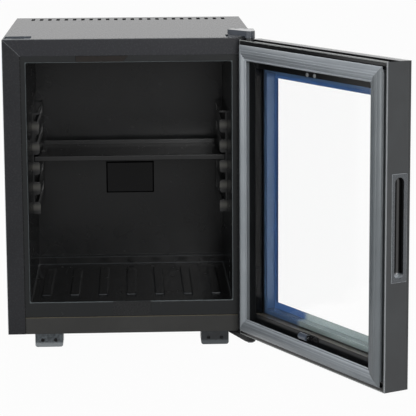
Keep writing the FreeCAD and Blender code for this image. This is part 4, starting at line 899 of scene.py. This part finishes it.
screwHead = {
    # (share of the head's radius, share of its height), from its rim to its crown
    "outline": [(0.97, 0.0), (1.0, 0.35), (0.86, 0.78), (0.5, 0.97), (0.1, 1.0)],
    "under": 0.02,                     # the shank ends this far under the head, in mm
    "recessWide": 1.15, "recessDeep": 0.55, "barWide": 0.24,
}


# Two crossed bars that cut the recess of a screw's head.
def crossPunch(size, depth, top):
    shape = bmesh.new()
    narrow = size * screwHead["barWide"]
    for long, short in ((size, narrow), (narrow, size)):
        for vert in bmesh.ops.create_cube(shape, size=millimetre)["verts"]:
            x, y, z = vert.co
            vert.co = (x * long, y * short, z * depth * 2 + top * millimetre)
    return addObject("punch", meshFrom(shape, "punch"))


# Pan-head screw with a cross recess. Its head stands on z = 0 and its shank goes down.
def screwPart(shank, length, head, height):
    outline = [(shank, -length), (shank, -screwHead["under"])]
    outline += [(head * wide, height * high) for wide, high in screwHead["outline"]]
    part = lathed("screwPart", outline)
    punch = crossPunch(head * screwHead["recessWide"], height * screwHead["recessDeep"], height)
    carve = part.modifiers.new("recess", "BOOLEAN")
    carve.operation = "DIFFERENCE"
    carve.solver = "EXACT"
    carve.use_self = True
    carve.object = punch
    mesh = settled(part, "screwPart")
    bpy.data.objects.remove(punch)
    return addObject("screwPart", mesh)


quarter = math.pi / 2
upward, downward = (0, 0, 0), (2 * quarter, 0, 0)
forward, backward = (quarter, 0, 0), (-quarter, 0, 0)      # heads towards -Y, and towards +Y
screwSets = {
    # size: radius and length of the shank, radius and height of the head, in mm
    # rows: (count, first place, step, turn), in metres
    "footScrews": {
        "size": (1.5, 12.0, 2.8, 1.2), "node": "foot_screws", "finish": blackScrew,
        "rows": [
            (2, (x - 0.0105, y, 0.0115), (0.021, 0, 0), turn)
            for x in (-0.135, 0.135) for y, turn in ((-0.206, forward), (0.206, backward))
        ],
    },
    "hingeScrews": {
        "size": (2.0, 16.0, 3.5, 2.0), "node": "hinge_screws", "finish": brightSteel,
        "rows": [
            (2, (0.1725, -0.196, 0.5125), (0.015, 0, 0), upward),
            (2, (0.1725, -0.196, 0.0195), (0.015, 0, 0), downward),
        ],
    },
    "unitScrews": {
        "size": (2.0, 5.0, 3.6, 1.0), "node": "unit_screws", "finish": brightSteel,
        "rows": [(2, (x, 0.208, 0.180016), (0, 0, 0.138), backward) for x in (-0.195, 0.195)],
    },
}
for name, each in screwSets.items():
    node = each["node"]
    addRows(
        name, bodyOf[node], each["finish"], screwPart(*each["size"]), each["rows"],
        [node], spin=math.pi,
    )

doorTurn = (-quarter, 0, math.radians(door["openDegrees"]))
doorScrews = {                         # places in mm from the hinge axis
    "size": (1.5, 8.0, 3.2, 1.8),
    "bead": [(-201.35, 10.0, 462.5), (-181.65, 10.0, 462.5)],
    "catch": [(-208.0, 11.5, 61.5)],
}


def addDoorScrews(name, finish, places, replaced=()):
    rows = [(1, doorPoint(*place), (0, 0, 0), doorTurn) for place in places]
    addRows(name, "door", finish, screwPart(*doorScrews["size"]), rows, replaced,
            spin=math.pi)


addDoorScrews("beadScrews", dullScrew, doorScrews["bead"], ["door_screws"])
addDoorScrews("catchScrew", blackScrew, doorScrews["catch"])

perforation = {                        # in mm
    "radius": 0.55, "pitch": 3.0, "inset": 49.0, "depth": -15.25, "proud": 0.03,
    "disc": [(1.0, -0.01), (0.98, 0.01)],          # (share of the radius, height)
}


# Row of dark discs, painted shade standing for the vent holes down the middle of the spacer bar, on
# all four of its inner sides.
def makePerforations():
    step, depth, radius = (perforation[key] for key in ("pitch", "depth", "radius"))
    left, right, low, high = doorEdges(perforation["inset"] + perforation["proud"])
    across, up = int((right - left) / step), int((high - low) / step)
    alongX = doorPoint(step, 0, 0) - doorPoint(0, 0, 0)
    alongZ = (0, 0, step * millimetre)
    opened = math.radians(door["openDegrees"])
    rows = [
        (across, doorPoint(left, depth, low), alongX, (0, 0, opened)),
        (across, doorPoint(left, depth, high), alongX, (2 * quarter, 0, opened)),
        (up, doorPoint(left, depth, low), alongZ, (0, quarter, opened)),
        (up, doorPoint(right, depth, low), alongZ, (0, -quarter, opened)),
    ]
    outline = [(radius * share, height) for share, height in perforation["disc"]]
    disc = lathed("disc", outline, steps=8)
    addRows("spacerHoles", "door", holeShadeDisc, disc, rows)


makePerforations()

weldBead = {                           # in mm
    "radius": 7.0, "thick": 1.4, "sunk": 0.2,
    "waist": 0.6,                      # share of the thickness, in radius and along the tube
    # place on the axis of the tube, and turn
    "spots": [
        ((-104.0, 165.8, 114.0), upward), ((110.0, 165.8, 340.2), upward),
        ((-142.0, 165.8, 400.0), upward), ((57.0, 139.0, 229.1), forward),
    ],
}


# Brazed collars where tubes of the cooling circuit meet.
def makeWelds():
    radius, thick, sunk = (weldBead[key] for key in ("radius", "thick", "sunk"))
    waist = thick * weldBead["waist"]
    ring = [(radius - sunk, -thick), (radius + waist, -waist), (radius + thick, 0.0),
            (radius + waist, waist), (radius - sunk, thick)]
    rows = [
        (1, Vector(spot) * millimetre, (0, 0, 0), turn) for spot, turn in weldBead["spots"]
    ]
    addRows("brazedCollars", "cabinet", stoveEnamel, lathed("ring", ring), rows)


makeWelds()
print("stage: rows of small parts")


# Floor, light and camera

studio = {
    "floorHalf": 9.0,
    "paleness": 0.97,                  # how much of the floor's own look is plain white
    # the room behind the camera is dark and the backdrop is bright, along Y
    "fillFrom": 0.1, "fillTo": 0.8, "frontFill": 0.05, "backFill": 0.95,
    "aim": (0, 0, 0.25),
    "lamps": [                         # name, place, size in metres, watts
        ("frontSoftbox", (0.65, -3.6, 1.15), 0.9, 42.0),
        ("leftSoftbox", (-2.6, -2.4, 1.3), 1.3, 50.0),
        ("topSoftbox", (0.2, 0.9, 3.0), 2.2, 28.0),
    ],
}
view = {
    "place": (-0.0004, -3.1062, 0.7684),
    "yaw": 2.48, "pitch": 9.274, "roll": 0.326,    # degrees: to the right, down, and clockwise
    "lens": 158.25, "sensor": 36.0,                # mm
    "shiftUp": -0.1,
    "near": 0.1, "far": 60.0,
}
white = (1, 1, 1, 1)


# 1 for what the camera sees, straight, through glass or mirrored, and 0 for other light.
def seenThrough(tree):
    path = addNode(tree, "ShaderNodeLightPath").outputs
    seen = path["Is Camera Ray"]
    for kind in ("Is Transmission Ray", "Is Glossy Ray"):
        seen = mathOf(tree, "MAXIMUM", seen, path[kind])
    return seen


def makeFloor():
    mesh = bpy.data.meshes.new("floor")
    half = studio["floorHalf"]
    mesh.from_pydata(
        [(-half, -half, 0), (half, -half, 0), (half, half, 0), (-half, half, 0)], [], [(0, 1, 2, 3)]
    )
    floor = addObject("floor", mesh)
    material, tree, shader, place = newMaterial(      # white paper sweep, burnt out for the eye
        "palePaper", {"Roughness": 0.9, "Specular IOR Level": 0.1}
    )
    paper = patchColour(tree, place, "#a2a2a2", "#a8a8a8", 400.0)
    tree.links.new(paper, shader.inputs["Base Color"])
    burnt = addNode(tree, "ShaderNodeEmission", {"Color": white, "Strength": 1.0})
    share = mathOf(tree, "MULTIPLY", seenThrough(tree), studio["paleness"])
    surface = tree.nodes["Material Output"].inputs["Surface"]
    tree.links.new(mixedShader(tree, share, shader, burnt), surface)
    mesh.materials.append(material)


def makeLight():
    world = bpy.data.worlds.new("studio")
    bpy.context.scene.world = world
    world.use_nodes = True
    tree = world.node_tree
    tree.nodes.clear()
    toward = partsOf(tree, addNode(tree, "ShaderNodeTexCoord").outputs["Generated"])["Y"]
    strength = rangeOf(
        tree, toward, studio["fillFrom"], studio["fillTo"], studio["frontFill"], studio["backFill"]
    )
    fill = addNode(tree, "ShaderNodeBackground", {"Color": white}, {"Strength": strength})
    bright = addNode(tree, "ShaderNodeBackground", {"Color": white, "Strength": 1.0})
    surface = mixedShader(tree, seenThrough(tree), fill, bright)
    addNode(tree, "ShaderNodeOutputWorld", links={"Surface": surface})
    for name, place, size, power in studio["lamps"]:
        lamp = bpy.data.lights.new(name, "AREA")
        lamp.size = size
        lamp.energy = power
        holder = addObject(name, lamp)
        holder.location = place
        aim = Vector(studio["aim"]) - Vector(place)
        holder.rotation_euler = aim.to_track_quat("-Z", "Y").to_euler()


def makeCamera():
    camera = bpy.data.cameras.new("camera")
    camera.lens = view["lens"]
    camera.sensor_width = view["sensor"]
    camera.shift_y = view["shiftUp"]
    camera.clip_start = view["near"]
    camera.clip_end = view["far"]
    holder = addObject("camera", camera)
    holder.location = view["place"]
    yaw, pitch, roll = (math.radians(view[key]) for key in ("yaw", "pitch", "roll"))
    upright = Euler((math.pi / 2 - pitch, 0, -yaw)).to_matrix()
    tilt = Euler((0, 0, -roll)).to_matrix()
    holder.rotation_euler = (upright @ tilt).to_euler()
    bpy.context.scene.camera = holder


makeFloor()
makeLight()
makeCamera()
bpy.context.scene.view_settings.view_transform = "Standard"
print("stage: studio ready")
